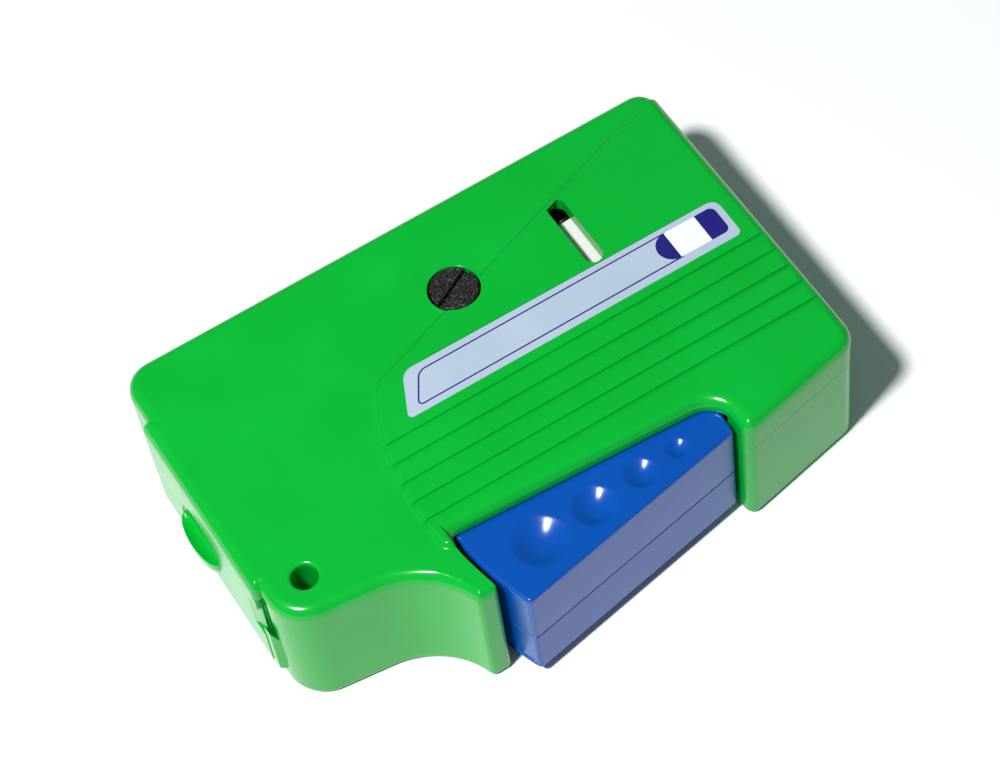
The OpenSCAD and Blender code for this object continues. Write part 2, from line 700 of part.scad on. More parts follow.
slide_end = [shutter_pin.x, shutter_pin.y];
slide_slot = pin_dx(shutter_pin) + free / 2;
slide_w = 3.2;
module shutter_slide() {
    x0 = end_step + wall + free;
    color(grey) placed() difference() {
        slab([[x0, -tab_y + tab_w / 2], [tab_l + over, -tab_y + tab_w / 2],
              [slide_end.x + slide_w + slide_slot, slide_end.y + slide_w],
              [slide_end.x + slide_w + slide_slot, slide_end.y - slide_w],
              [slide_end.x - slide_w, slide_end.y - slide_w],
              [slide_end.x - 2 * slide_w, slide_end.y + slide_w],
              [tab_l, -tab_y - tab_w / 2 - wall], [x0, -tab_y - tab_w / 2]], bar_z0, bar_z1);
        stadium(slide_end, slide_end + [slide_slot, 0], drive_pin_r + run * 2, 0, case_h);
        post([tab_l - tab_w / 2, -tab_y], lever_screw_r, 0, case_h);
    }
}
module shutter_screw() {
    c = [tab_l - tab_w / 2, -tab_y];
    color(steel) placed() {
        post(c, lever_screw_r * 1.7, tab_z0 + tab_t, tab_z0 + tab_t + 0.7);
        post(c, lever_screw_r, bar_z0 + seat, tab_z0 + tab_t + seat);
    }
}

module slot_plate() {
    mid = -(head_y0 + head_y1) / 2;
    color(grey) placed() difference() {
        block(end_step + seat, end_step + wall, -head_y1 + seat, -head_y0 - seat, head_z0 + seat, head_z1 - seat);
        for (s = [-1, 1]) {
            c = mid + s * (slot_w + slot_gap) / 2;
            for (z = [head_z0 + slot_w, head_z1 - slot_w])
                translate([0, c, z]) rotate([0, 90, 0]) cylinder(r = slot_w / 2, h = end_step + wall + over);
            block(0, end_step + wall + over, c - slot_w / 2, c + slot_w / 2, head_z0 + slot_w, head_z1 - slot_w);
        }
    }
}
module platen_pad() {
    x1 = platen_x + platen_t;
    c0 = [platen_x + platen_r, -head_y0 - seat - platen_r];
    c1 = [platen_x + platen_r, -head_y1 + seat + platen_r];
    color(black) placed()
        slab(concat(arc(c0, platen_r, 90, 180, 6), arc(c1, platen_r, 180, 270, 6),
                    [[x1, -head_y1 + seat], [x1, -head_y0 - seat]]), tape_z0, tape_z1);
}
module platen_holder() {
    x0 = platen_x + platen_t;
    color(grey) placed() {
        block(x0, x0 + holder_t, -head_y1 + seat, -head_y0 - seat, floor_t, tape_z1);
    }
}

module roller(c, r) {
    difference() {
        post(c, r, tape_z0 - 0.3, tape_z1 + 0.3);
        post(c, roller_pin_r + run, 0, case_h);
    }
}
module guide_roller_back() {
    color(white) placed() roller(back_roller, roller_r);
}
module guide_roller_head() {
    color(white) placed() roller(head_roller, head_roller_r);
}
module guide_pins() {
    color(steel) placed() for (c = [back_roller, head_roller]) {
        post(c, roller_pin_r, pin_end, tape_z1 + over);
        post(c, roller_pin_r + 0.8, floor_t, tape_z0 - 0.3 - boss_play);
    }
}

// the tape passes every roll, roller and corner on the same side
tape_t = 0.25;
tape_off = 0.3;
way = [[supply_c, supply_roll_r], [back_roller, roller_r],
       [[platen_x + platen_r, -head_y0 - platen_r], platen_r],
       [[platen_x + platen_r, -head_y1 + platen_r], platen_r],
       [head_roller, head_roller_r], [takeup_c, takeup_roll_r]];
function leg(k) =
    let (v = way[k + 1][0] - way[k][0])
    atan2(v.y, v.x) - acos((way[k][1] - way[k + 1][1]) / norm(v));
function turn(a, b) = b < a - 180 ? b + 360 : (b > a + 180 ? b - 360 : b);
function tape_side(extra) =
    [for (k = [0:len(way) - 1])
        let (a0 = leg(max(k - 1, 0)), a1 = turn(a0, leg(min(k, len(way) - 2))))
        each arc(way[k][0], way[k][1] + extra, a0, a1, (k == 0 || k == len(way) - 1) ? 1 : 6)];
module tape_web() {
    inner = tape_side(tape_off);
    outer = tape_side(tape_off + tape_t);
    n = len(inner);
    color(white) placed()
        slab(concat([for (k = [1:n - 2]) outer[k]], [for (k = [n - 2:-1:1]) inner[k]]), tape_z0 + 0.3, tape_z1 - 0.3);
}

hub_r = 6;
spoke_count = 3;
rim_w = 5.4;
upper_flange_t = 1.5;
module supply_reel() {
    color(black) placed() difference() {
        union() {
            post(supply_c, hub_r, flange_z0, reel_top);
            post(supply_c, flange_r, flange_z0, flange_z0 + upper_flange_t);
            difference() {
                post(supply_c, flange_r, reel_top - upper_flange_t, reel_top);
                difference() {
                    post(supply_c, flange_r - rim_w, 0, case_h);
                    post(supply_c, hub_r + 2, 0, case_h);
                    for (k = [0:spoke_count - 1])
                        translate([supply_c.x, supply_c.y, 0]) rotate([0, 0, 30 + 360 / spoke_count * k])
                            block(0, flange_r, -wall, wall, 0, case_h);
                }
            }
        }
        post(supply_c, spindle_r + run, 0, case_h);
    }
}
module roll(c, r) {
    difference() {
        post(c, r, tape_z0, tape_z1);
        post(c, hub_r + seat, 0, case_h);
    }
}
module supply_tape() {
    color(white) placed() roll(supply_c, supply_roll_r);
}
module takeup_tape() {
    color(white) placed() roll(takeup_c, takeup_roll_r);
}

// a tooth is a trapezium: its half angles at root and tip are shares of the pitch
root_share = 0.36;
tip_share = 0.15;
addendum = 0.8;
dedendum = 1.15;
module gear(teeth, z0, z1) {
    r = gear_module * teeth / 2;
    p = 360 / teeth;
    pts = [for (k = [0:teeth - 1])
        for (s = [[-root_share, r - dedendum * gear_module], [-tip_share, r + addendum * gear_module],
                  [tip_share, r + addendum * gear_module], [root_share, r - dedendum * gear_module]])
            s[1] * [cos(p * (k + s[0])), sin(p * (k + s[0]))]];
    slab(pts, z0, z1);
}
module takeup_reel() {
    color(black) placed() difference() {
        union() {
            translate([takeup_c.x, takeup_c.y, 0]) rotate([0, 0, mesh_a + 180 / takeup_teeth])
                gear(takeup_teeth, flange_z0, flange_z1);
            post(takeup_c, hub_r, flange_z0, reel_top);
        }
        post(takeup_c, spindle_r + run, 0, case_h);
    }
}

// the drive shaft: a slotted head in the top face, a journal in the floor
journal_r = 2;
journal_z0 = 1;
core_r = 2.5;
collar_r = 4;
head_sink = 0.5;
head_t = 2.6;
coin_w = 1.6;
coin_deep = 1.2;
coin_a = 28;
module drive_shaft() {
    z1 = case_h - head_sink;
    color(black) placed() difference() {
        union() {
            post(shaft_c, journal_r, journal_z0, floor_t + seat);
            post(shaft_c, core_r, floor_t, z1 - head_t);
            post(shaft_c, collar_r, tape_z1 + boss_play, z1 - head_t + seat);
            post(shaft_c, head_r, z1 - head_t, z1);
        }
        translate([shaft_c.x, shaft_c.y, z1 - coin_deep]) rotate([0, 0, coin_a])
            translate([-2 * head_r, -coin_w / 2, 0]) cube([4 * head_r, coin_w, coin_deep + over]);
    }
}
ratchet_r = 6.5;
ratchet_deep = 1.3;
ratchet_teeth = 12;
module drive_pinion() {
    color(white) placed() difference() {
        union() {
            translate([shaft_c.x, shaft_c.y, 0]) rotate([0, 0, mesh_a + 180]) gear(pinion_teeth, bar_z1 - seat, flange_z1 + free);
            translate([shaft_c.x, shaft_c.y, 0])
                slab([for (k = [0:ratchet_teeth - 1]) let (a = 360 * k / ratchet_teeth)
                    each [ratchet_r * [cos(a), sin(a)], (ratchet_r - ratchet_deep) * [cos(a), sin(a)]]], bar_z0, bar_z1);
        }
        post(shaft_c, core_r, 0, case_h);
    }
}

// the feed slider carries the pawl that turns the ratchet
slider_x = shaft_c.x - ratchet_r - 2.8;
slider_w = 4;
pawl_y = shaft_c.y - 9;
pawl_pin_r = 1;
pawl_z = bar_z0 + 0.9;
feed_slot = pin_dx(feed_pin) + free / 2;
slider_end = 3;
module feed_slider() {
    color(grey) placed() {
        difference() {
            union() {
                block(slider_x - slider_w / 2, slider_x + slider_w / 2, feed_pin.y, pawl_y - slider_w, bar_z0, bar_z1);
                block(slider_x - slider_w / 2, slider_x + slider_w / 2, pawl_y - slider_w - seat, pawl_y + 2, bar_z0, pawl_z);
                block(slider_x - slider_w / 2, feed_pin.x + feed_slot + slider_end,
                      feed_pin.y - slider_end, feed_pin.y + slider_end, bar_z0, bar_z1);
            }
            stadium(feed_pin, feed_pin + [feed_slot, 0], drive_pin_r + run * 2, 0, case_h);
        }
        post([slider_x, pawl_y], pawl_pin_r, bar_z0, bar_z1);
    }
}
pawl_l = 9.5;
pawl_w = 1.5;
module feed_pawl() {
    c = [slider_x, pawl_y];
    color(black) placed() difference() {
        union() {
            post(c, pawl_w + 0.4, pawl_z + seat, bar_z1);
            slab([c + [-pawl_w, 0], c + [pawl_w, 0], c + [shaft_c.x - ratchet_r - 0.3 - slider_x, pawl_l],
                  c + [0.4, pawl_l - 0.6]], pawl_z + seat, bar_z1);
        }
        post(c, pawl_pin_r + run, 0, case_h);
    }
}
check_c = [shaft_c.x + ratchet_r + 2.8, shaft_c.y - 9];
check_pin_r = 1;
module check_pawl() {
    c = check_c;
    color(black) placed() difference() {
        union() {
            post(c, pawl_w + 0.4, bar_z0, bar_z1);
            slab([c + [-pawl_w, 0], c + [pawl_w, 0], c + [-0.4, pawl_l - 0.6],
                  c + [shaft_c.x + ratchet_r + 0.3 - c.x, pawl_l]], bar_z0, bar_z1);
        }
        post(c, check_pin_r + run, 0, case_h);
    }
}
module slider_guides() {
    for (s = [-1, 1])
        block(slider_x + s * (slider_w / 2 + 0.3) - (s < 0 ? 1.4 : 0), slider_x + s * (slider_w / 2 + 0.3) + (s < 0 ? 0 : 1.4),
              pawl_y - 17, pawl_y - 7, root_z, bar_z1);
}

// the brake: a leaf spring held by an anchor, close to the rim of the supply reel
brake_a = -50;
brake_t = 0.4;
brake_l = 16;
anchor_r = 1.8;
brake_p = supply_c + (flange_r + 0.3) * [cos(brake_a), sin(brake_a)];
brake_dir = [sin(brake_a), -cos(brake_a)];
anchor_c = brake_p + (brake_l / 2) * brake_dir + (brake_t + anchor_r) * [cos(brake_a), sin(brake_a)];
module brake_anchor() {
    post(anchor_c, anchor_r, root_z, flange_z1 + over);
}
module brake_spring() {
    color(steel) placed() translate([brake_p.x, brake_p.y, flange_z0]) rotate([0, 0, brake_a])
        translate([0, -brake_l / 2, 0]) cube([brake_t, brake_l, 2 * flange_t]);
}

upper_shell();
lower_shell();
case_screws();
label_plate();
lever_upper();
lever_lower();
lever_screws();
lever_pin();
lever_spring();
shutter();
shutter_slide();
shutter_screw();
slot_plate();
platen_pad();
platen_holder();
guide_roller_back();
guide_roller_head();
guide_pins();
tape_web();
supply_reel();
supply_tape();
brake_spring();
takeup_reel();
takeup_tape();
drive_shaft();
drive_pinion();
feed_slider();
feed_pawl();
check_pawl();
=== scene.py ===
# %% [markdown]
# # A fibre optic cleaning cassette
# The cassette is a flat green box with a blue squeeze lever at the front. A tape runs inside
# it, and a shutter on the left end uncovers the slots where a connector is wiped.
# The solid parts come from the CAD model, which is loaded here as a fixed frame. Blender adds
# the finishes, the fine moulded forms and the light.

# %% Load the frame
from math import asin, atan2, cos, degrees, pi, radians, sin, sqrt, tan

import bpy
from mathutils import Matrix, Vector
from mathutils.geometry import delaunay_2d_cdt


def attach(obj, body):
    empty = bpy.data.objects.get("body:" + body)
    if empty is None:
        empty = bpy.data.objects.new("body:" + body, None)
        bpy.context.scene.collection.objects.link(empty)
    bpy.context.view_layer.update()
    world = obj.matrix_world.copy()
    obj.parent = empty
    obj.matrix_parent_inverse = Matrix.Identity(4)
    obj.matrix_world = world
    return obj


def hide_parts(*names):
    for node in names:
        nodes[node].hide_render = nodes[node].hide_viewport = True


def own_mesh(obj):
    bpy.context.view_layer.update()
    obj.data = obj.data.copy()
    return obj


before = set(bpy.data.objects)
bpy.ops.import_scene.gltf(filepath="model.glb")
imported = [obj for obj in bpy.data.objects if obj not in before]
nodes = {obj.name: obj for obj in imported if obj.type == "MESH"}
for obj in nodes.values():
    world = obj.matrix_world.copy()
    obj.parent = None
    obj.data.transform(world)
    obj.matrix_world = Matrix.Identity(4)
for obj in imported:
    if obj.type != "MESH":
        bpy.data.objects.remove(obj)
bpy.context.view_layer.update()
MM = 0.001
print("CAD nodes:", len(nodes))

# %% [markdown]
# ## The camera
# The photograph was taken from above and to the left of the lever, with a long lens. A camera
# can be aimed with a Track To constraint, but that leaves its roll to guess. Here the place and
# the turn were found by matching corners of the case, whose sizes are known from the CAD model.
# A camera looks along its own minus Z, so its matrix is built from the directions that point
# right, up and back.

# %% Camera
RIGHT = Vector((0.849364, -0.519730, -0.091985))
UP = Vector((0.481457, 0.691503, 0.538538))
BACK = Vector((-0.216287, -0.501702, 0.837565))
CAMERA_PLACE = Vector((-127.911, -301.075, 531.327)) * MM
FOCAL_LENGTH, SENSOR_WIDTH = 111.22, 36


def add_object(name, data):
    thing = bpy.data.objects.new(name, data)
    bpy.context.scene.collection.objects.link(thing)
    return thing


camera_data = bpy.data.cameras.new("camera")
camera_data.lens, camera_data.sensor_width = FOCAL_LENGTH, SENSOR_WIDTH
camera_data.clip_start, camera_data.clip_end = 0.05, 20
camera = add_object("camera", camera_data)
camera_turn = Matrix((RIGHT, UP, BACK)).transposed().to_4x4()
camera.matrix_world = Matrix.Translation(CAMERA_PLACE) @ camera_turn
bpy.context.scene.camera = camera
print("camera:", FOCAL_LENGTH, "mm lens,", round(CAMERA_PLACE.length, 3), "m from the origin")

# %% [markdown]
# ## The plan of the case
# A case is easiest to measure from its own corner. So the sizes in this file are millimetres in
# the plan of the case, whose left end is x = 0 and whose back edge is y = 0. The model has its
# origin under its middle, and one small function shifts a point from the plan to the model.

# %% Plan to frame
SHIFT_X, SHIFT_Y = -60.95, 44.0


def place_point(x, y, z):
    return ((x + SHIFT_X) * MM, (y + SHIFT_Y) * MM, z * MM)


print("back left corner:", [round(value, 5) for value in place_point(0, 0, 0)])

# %% [markdown]
# ## Light
# The shadow in the photograph falls to the right and a little to the back, and its edge is
# fairly crisp. A sun lamp could throw it too, but all its light is parallel and equally strong.
# A small bright disc above the left end is closer to a studio lamp: its light spreads and fades,
# and its size sets how soft the shadow's edge is. A faint lamp lifts the front faces, and a weak
# cool sky fills the shadow.

# %% World
SKY_COLOUR, SKY_STRENGTH = (0.80, 0.95, 1.0, 1), 0.15

world = bpy.data.worlds.new("studio")
bpy.context.scene.world = world
world.use_nodes = True
world_tree = world.node_tree
world_tree.nodes.clear()
sky = world_tree.nodes.new("ShaderNodeBackground")
sky.inputs["Color"].default_value = SKY_COLOUR
sky.inputs["Strength"].default_value = SKY_STRENGTH
world_output = world_tree.nodes.new("ShaderNodeOutputWorld")
world_tree.links.new(sky.outputs[0], world_output.inputs["Surface"])
print("sky strength:", SKY_STRENGTH)

# %% Lamps
AIM = Vector((0, 0, 0.01))


def soft_lamp(name, place, size, watts):
    """A round area lamp that shines at the middle of the cassette."""
    data = bpy.data.lights.new(name, "AREA")
    data.shape, data.size, data.energy = "DISK", size, watts
    lamp = add_object(name, data)
    lamp.location = place
    lamp.rotation_mode = "QUATERNION"
    lamp.rotation_quaternion = (AIM - Vector(place)).to_track_quat("-Z", "Y")


soft_lamp("key", place=(-0.48, -0.17, 1.0), size=0.13, watts=14.6)
soft_lamp("front_fill", place=(-0.5, -1.0, 0.35), size=0.5, watts=0.15)
print("lamps:", len(bpy.data.lights))

# %% [markdown]
# ## White paper
# The cassette stands on white paper. A plain white sheet would do, but it would throw more light
# onto the upright faces than they get in the photograph. So the sheet mixes two matt colours. A
# ray from the camera, a reflection or a clear part sees white paper, and every other ray meets a
# slightly darker and cooler one.

# %% Floor
PAPER_HALF = 4.0
PAPER_SEEN, PAPER_THROWN = (0.97, 0.985, 0.99, 1), (0.70, 0.76, 0.78, 1)


def new_material(name):
    material = bpy.data.materials.new(name)
    material.use_nodes = True
    tree = material.node_tree
    tree.nodes.clear()
    return material, tree, tree.nodes.new("ShaderNodeOutputMaterial")


def matt(tree, colour):
    shader = tree.nodes.new("ShaderNodeBsdfDiffuse")
    shader.inputs["Color"].default_value = colour
    return shader.outputs[0]


def paper():
    """Matt paper whose colour depends on the kind of ray that meets it."""
    material, tree, output = new_material("white_paper")
    rays = tree.nodes.new("ShaderNodeLightPath")
    looking = rays.outputs["Is Camera Ray"]
    for kind in ("Is Glossy Ray", "Is Transmission Ray"):
        either = tree.nodes.new("ShaderNodeMath")
        either.operation = "MAXIMUM"
        tree.links.new(looking, either.inputs[0])
        tree.links.new(rays.outputs[kind], either.inputs[1])
        looking = either.outputs[0]
    choice = tree.nodes.new("ShaderNodeMixShader")
    tree.links.new(looking, choice.inputs["Fac"])
    tree.links.new(matt(tree, PAPER_THROWN), choice.inputs[1])
    tree.links.new(matt(tree, PAPER_SEEN), choice.inputs[2])
    tree.links.new(choice.outputs[0], output.inputs["Surface"])
    return material


sheet = bpy.data.meshes.new("floor")
sheet_corners = [(PAPER_HALF * x, PAPER_HALF * y, 0) for x, y in ((-1, -1), (1, -1), (1, 1), (-1, 1))]
sheet.from_pydata(sheet_corners, [], [(0, 1, 2, 3)])
sheet.materials.append(paper())
floor = add_object("floor", sheet)
print("paper:", 2 * PAPER_HALF, "m square")

# %% [markdown]
# ## Moulded plastic
# The case and the lever are glossy moulded ABS. Such a surface is never quite even: the colour
# drifts a little, the gloss changes where hands have rubbed it, and the mould leaves a very
# fine ripple. A picture could carry all that, but noise needs no file and fits any shape. Three
# noise textures of different scale drive the colour, the roughness and a small bump.

# %% Moulded finish
PLASTIC_IOR = 1.5


def noise(tree, place, scale, detail):
    texture = tree.nodes.new("ShaderNodeTexNoise")
    texture.inputs["Scale"].default_value = scale
    texture.inputs["Detail"].default_value = detail
    tree.links.new(place.outputs["Object"], texture.inputs["Vector"])
    return texture.outputs["Fac"]


def two_tones(tree, pattern, stops, tones):
    """A colour ramp from a dark to a light tone that follows a pattern."""
    ramp = tree.nodes.new("ShaderNodeValToRGB")
    for stop, at, tone in zip(ramp.color_ramp.elements, stops, tones):
        stop.position, stop.color = at, (*tone, 1)
    tree.links.new(pattern, ramp.inputs["Fac"])
    return ramp.outputs["Color"]


def bumped_shader(tree, output, colour, height, depth):
    """The main shader, with its colour and a bump that is depth millimetres deep."""
    shader = tree.nodes.new("ShaderNodeBsdfPrincipled")
    shader.inputs["IOR"].default_value = PLASTIC_IOR
    bump = tree.nodes.new("ShaderNodeBump")
    bump.inputs["Distance"].default_value = depth * MM
    tree.links.new(colour, shader.inputs["Base Color"])
    tree.links.new(height, bump.inputs["Height"])
    tree.links.new(bump.outputs["Normal"], shader.inputs["Normal"])
    tree.links.new(shader.outputs[0], output.inputs["Surface"])
    return shader


def moulded(name, dark, light, rough, ripple=0.006, grain=420.0, metal=0.0):
    """Two tones, the least and most roughness, and how deep (mm) and how fine the ripple is."""
    material, tree, output = new_material(name)
    place = tree.nodes.new("ShaderNodeTexCoord")
    drift = noise(tree, place, scale=45.0, detail=3.0)
    rub = noise(tree, place, scale=130.0, detail=4.0)
    fine = noise(tree, place, scale=grain, detail=2.0)
    colour = two_tones(tree, drift, (0.3, 0.7), (dark, light))
    shader = bumped_shader(tree, output, colour, fine, ripple)
    shader.inputs["Metallic"].default_value = metal
    gloss = tree.nodes.new("ShaderNodeMapRange")
    gloss.inputs["To Min"].default_value, gloss.inputs["To Max"].default_value = rough
    tree.links.new(rub, gloss.inputs["Value"])
    tree.links.new(gloss.outputs["Result"], shader.inputs["Roughness"])
    return material


green_abs = moulded("green_case", (0.0, 0.40, 0.028), (0.0, 0.44, 0.036), (0.16, 0.24))
print(green_abs.name, "has", len(green_abs.node_tree.nodes), "shader nodes")

# %% [markdown]
# ## The other plain finishes
# The lever, the reels, the pins and the rubber pad differ only in two tones of colour, in two
# limits of roughness, and in how deep and fine their ripple is. So the same function makes them
# all. The label film and the tape have a much finer grain, and only the steel is a metal.

# %% Other finishes
blue_abs = moulded("blue_lever", (0.0, 0.068, 0.38), (0.0, 0.078, 0.42), (0.17, 0.25), 0.003)
black_pom = moulded("black_moulded", (0.006, 0.006, 0.007), (0.012, 0.012, 0.013), (0.25, 0.4))
grey_pom = moulded("grey_moulded", (0.16, 0.17, 0.19), (0.2, 0.21, 0.23), (0.35, 0.5))
white_pom = moulded("white_moulded", (0.78, 0.78, 0.76), (0.86, 0.86, 0.84), (0.35, 0.5))
rubber = moulded("rubber_black", (0.01, 0.01, 0.01), (0.02, 0.02, 0.02), (0.7, 0.85), 0.01)
steel = moulded("bright_steel", (0.5, 0.5, 0.51), (0.62, 0.62, 0.64), (0.2, 0.38), 0.003, metal=1.0)
label_film = moulded("label_film", (0.42, 0.51, 0.63), (0.47, 0.56, 0.68), (0.3, 0.42),
                     ripple=0.006, grain=1500.0)
tape_cloth = moulded("tape_cloth", (0.74, 0.74, 0.71), (0.86, 0.86, 0.84), (0.8, 0.95),
                     ripple=0.03, grain=2500.0)
navy_ink = moulded("navy_ink", (0.012, 0.010, 0.17), (0.018, 0.014, 0.20), (0.3, 0.4), 0.002)
white_ink = moulded("white_ink", (0.86, 0.88, 0.90), (0.90, 0.92, 0.94), (0.3, 0.4), 0.002)
print("lever:", blue_abs.name, " label:", label_film.name, " tape:", tape_cloth.name)

# %% [markdown]
# ## Swirls and wound layers
# The face of the drive head has swirled marks, and the side of the tape roll shows its wound
# layers. Both are rings round an axis, too fine to model as faces. A wave texture draws them,
# with its middle moved onto the axis, and some distortion makes the swirls uneven.

# %% Ringed finish
HEAD, SUPPLY = (66.6, -20.9), (96.0, -39.0)


def ringed(name, centre, dark, light, rings, swirl, rough, depth):
    """Two tones in rings round a centre, with a bump that is depth millimetres deep."""
    material, tree, output = new_material(name)
    place = tree.nodes.new("ShaderNodeTexCoord")
    middle = tree.nodes.new("ShaderNodeVectorMath")
    middle.operation = "SUBTRACT"
    middle.inputs[1].default_value = place_point(*centre, 0)
    waves = tree.nodes.new("ShaderNodeTexWave")
    waves.wave_type, waves.rings_direction = "RINGS", "Z"
    waves.inputs["Scale"].default_value = rings
    waves.inputs["Distortion"].default_value = swirl
    waves.inputs["Detail"].default_value = 4.0
    waves.inputs["Detail Scale"].default_value = 1.6
    tree.links.new(place.outputs["Object"], middle.inputs[0])
    tree.links.new(middle.outputs["Vector"], waves.inputs["Vector"])
    colour = two_tones(tree, waves.outputs["Fac"], (0.45, 0.95), (dark, light))
    shader = bumped_shader(tree, output, colour, waves.outputs["Fac"], depth)
    shader.inputs["Roughness"].default_value = rough
    return material


head_black = ringed("drive_head_black", HEAD, (0.004, 0.004, 0.004), (0.045, 0.038, 0.038),
                    rings=520.0, swirl=14.0, rough=0.3, depth=0.05)
tape_rings = ringed("wound_tape", SUPPLY, (0.72, 0.73, 0.69), (0.86, 0.86, 0.82),
                    rings=1700.0, swirl=0.6, rough=0.85, depth=0.0)
print("ringed finishes:", head_black.name, tape_rings.name)

# %% [markdown]
# ## Finish the CAD parts
# A part from CAD has perfectly sharp edges, which catch no light. Real mouldings have small
# radii, so each part gets modifiers: faces that touch are joined, flat faces are merged, and
# only then a narrow bevel rounds the edges. Modifiers are used because they leave the CAD mesh
# itself as it is. The upper shell has many soft curves, so only its steeper edges are rounded.

# %% Give each CAD node its finish
JOIN_WITHIN = 0.004                 # points this close become one, in millimetres
FLAT_WITHIN = 0.3                   # faces this flat become one, in degrees
SHELL_LIMIT, EDGE_LIMIT = 52, 35    # steeper edges are rounded, in degrees
FINISH = {
    green_abs: ["upper_shell", "lower_shell", "shutter"],
    blue_abs: ["lever_upper", "lever_lower"],
    label_film: ["label_plate"],
    steel: ["case_screws", "lever_screws", "lever_pin", "lever_spring", "shutter_screw",
            "guide_pins", "brake_spring"],
    grey_pom: ["shutter_slide", "slot_plate", "platen_holder", "feed_slider"],
    rubber: ["platen_pad"],
    white_pom: ["guide_roller_back", "guide_roller_head", "drive_pinion"],
    black_pom: ["supply_reel", "takeup_reel", "drive_shaft", "feed_pawl", "check_pawl"],
    tape_cloth: ["supply_tape", "takeup_tape", "tape_web"],
}


def rounded_edges(piece, width, limit):
    """Rounds the edges that are sharper than limit degrees."""
    edge = piece.modifiers.new("soft_edges", "BEVEL")
    edge.width, edge.segments = width * MM, 3
    edge.limit_method, edge.angle_limit = "ANGLE", radians(limit)
    edge.harden_normals = True
    return edge


def soften(piece, width=0.12, limit=EDGE_LIMIT, clamp=False):
    """Cleans a mesh that came from solids, and gives it small rounded edges."""
    joined = piece.modifiers.new("joined_faces", "WELD")
    joined.merge_threshold = JOIN_WITHIN * MM
    flat = piece.modifiers.new("flat_faces", "DECIMATE")
    flat.decimate_type = "DISSOLVE"
    flat.angle_limit = radians(FLAT_WITHIN)
    rounded_edges(piece, width, limit).use_clamp_overlap = clamp
    even = piece.modifiers.new("even_normals", "WEIGHTED_NORMAL")
    even.keep_sharp = True
    even.mode = "FACE_AREA_WITH_ANGLE"


for finish, names in FINISH.items():
    for name in names:
        node = nodes[name]
        node.data.materials.clear()
        node.data.materials.append(finish)
        node.data.shade_smooth()
        shell = name == "upper_shell"
        soften(node, limit=SHELL_LIMIT if shell else EDGE_LIMIT, clamp=shell)
print("finished:", sum(len(names) for names in FINISH.values()), "of", len(nodes), "nodes")

# %% [markdown]
# ## The lever's top
# The top of the lever carries four thumb dimples that grow towards the free end. Their rims are
# soft, because a mould cutter with a round nose made them. Balls could be cut out of a solid,
# but that leaves sharp rims. Here the top is filled with a fine mesh instead, and each point is
# lowered by the depth of the dimple it lies in.

# %% Pieces and arcs
def loose_piece(name, points, faces):
    mesh = bpy.data.meshes.new(name)
    mesh.from_pydata([place_point(*point) for point in points], [], faces)
    return add_object(name, mesh)


def add_piece(name, points, faces, finish, body):
    """A piece with one finish that moves with a body of the model."""
    piece = loose_piece(name, points, faces)
    piece.data.materials.append(finish)
    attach(piece, body)
    return piece


def arc(centre, radius, start, end, steps):
    """Points along an arc, whose start and end are angles in degrees."""
    turns = [radians(start + (end - start) * k / steps) for k in range(steps + 1)]
    return [(centre[0] + radius * cos(turn), centre[1] + radius * sin(turn)) for turn in turns]


def side_faces(count, rows):
    """Faces between rows of points, where each row has count points and closes on itself."""
    return [(row * count + k, row * count + (k + 1) % count,
             (row + 1) * count + (k + 1) % count, (row + 1) * count + k)
            for row in range(rows - 1) for k in range(count)]


print("points on a quarter turn in 8 steps:", len(arc((0, 0), 1, 0, 90, 8)))

# %% Lever outline
PIVOT = (91.0, -67.2)
LEVER_R = 52.8                           # from the pivot to the free end
LEVER_RIGHT = 94.4                       # right end, beside the pivot
LEVER_SLANT = 10.5                       # slope of the outer face, in degrees
END_RISE = 2.7                           # the free end starts this far behind the pivot
CORNER_Y, CORNER_R, LEAST_R = -87.0, 1.0, 0.2
HUB_R, HUB_START, HUB_END = 4.4, -8, 92  # radius, and angles in degrees
CORNER = (PIVOT[0] - sqrt((LEVER_R - CORNER_R) ** 2 - (PIVOT[1] - CORNER_Y) ** 2), CORNER_Y)


def lever_plan(inset):
    """The outline from above: free end, its corner, right corner and hub, moved in by inset."""
    radius = max(CORNER_R - inset, LEAST_R)
    out = inset + radius
    slant = radians(LEVER_SLANT)
    toward = degrees(atan2(PIVOT[1] - CORNER[1], PIVOT[0] - CORNER[0]))
    reach = LEVER_R - inset
    right = LEVER_RIGHT - out
    face = CORNER[1] - CORNER_R / cos(slant) + tan(slant) * (right - CORNER[0])
    return (arc(PIVOT, reach, 180 - degrees(asin((END_RISE - inset) / reach)), 180 + toward, 24)
            + arc(CORNER, radius, 180 + toward, 270 + LEVER_SLANT, 8)
            + arc((right, face + out / cos(slant)), radius, 270 + LEVER_SLANT, 360, 8)
            + arc(PIVOT, HUB_R - inset, HUB_START, HUB_END, 12))


across = [x for x, y in lever_plan(0)]
print("lever:", round(max(across) - min(across), 1), "mm long")

# %% Dimples
DIMPLES = [(51.1, -78.0, 5.9, 1.95), (63.5, -77.2, 4.7, 1.6), (74.6, -76.2, 3.6, 1.25),
           (83.4, -75.5, 2.5, 0.9)]
RIM_SOFTNESS = 1.4


def dimple_depth(x, y):
    """Each dimple is its middle's x and y, its radius and its depth."""
    depth = 0.0
    for middle_x, middle_y, radius, deep in DIMPLES:
        share = ((x - middle_x) ** 2 + (y - middle_y) ** 2) / radius ** 2
        if share < 1:
            depth = max(depth, deep * (1 - share) ** RIM_SOFTNESS)
    return depth


print("dimples:", len(DIMPLES))

# %% Grid for the dimples
GRID_CORNER, GRID_SIZE, GRID_STEP = (38, -90), (58, 28), 0.4


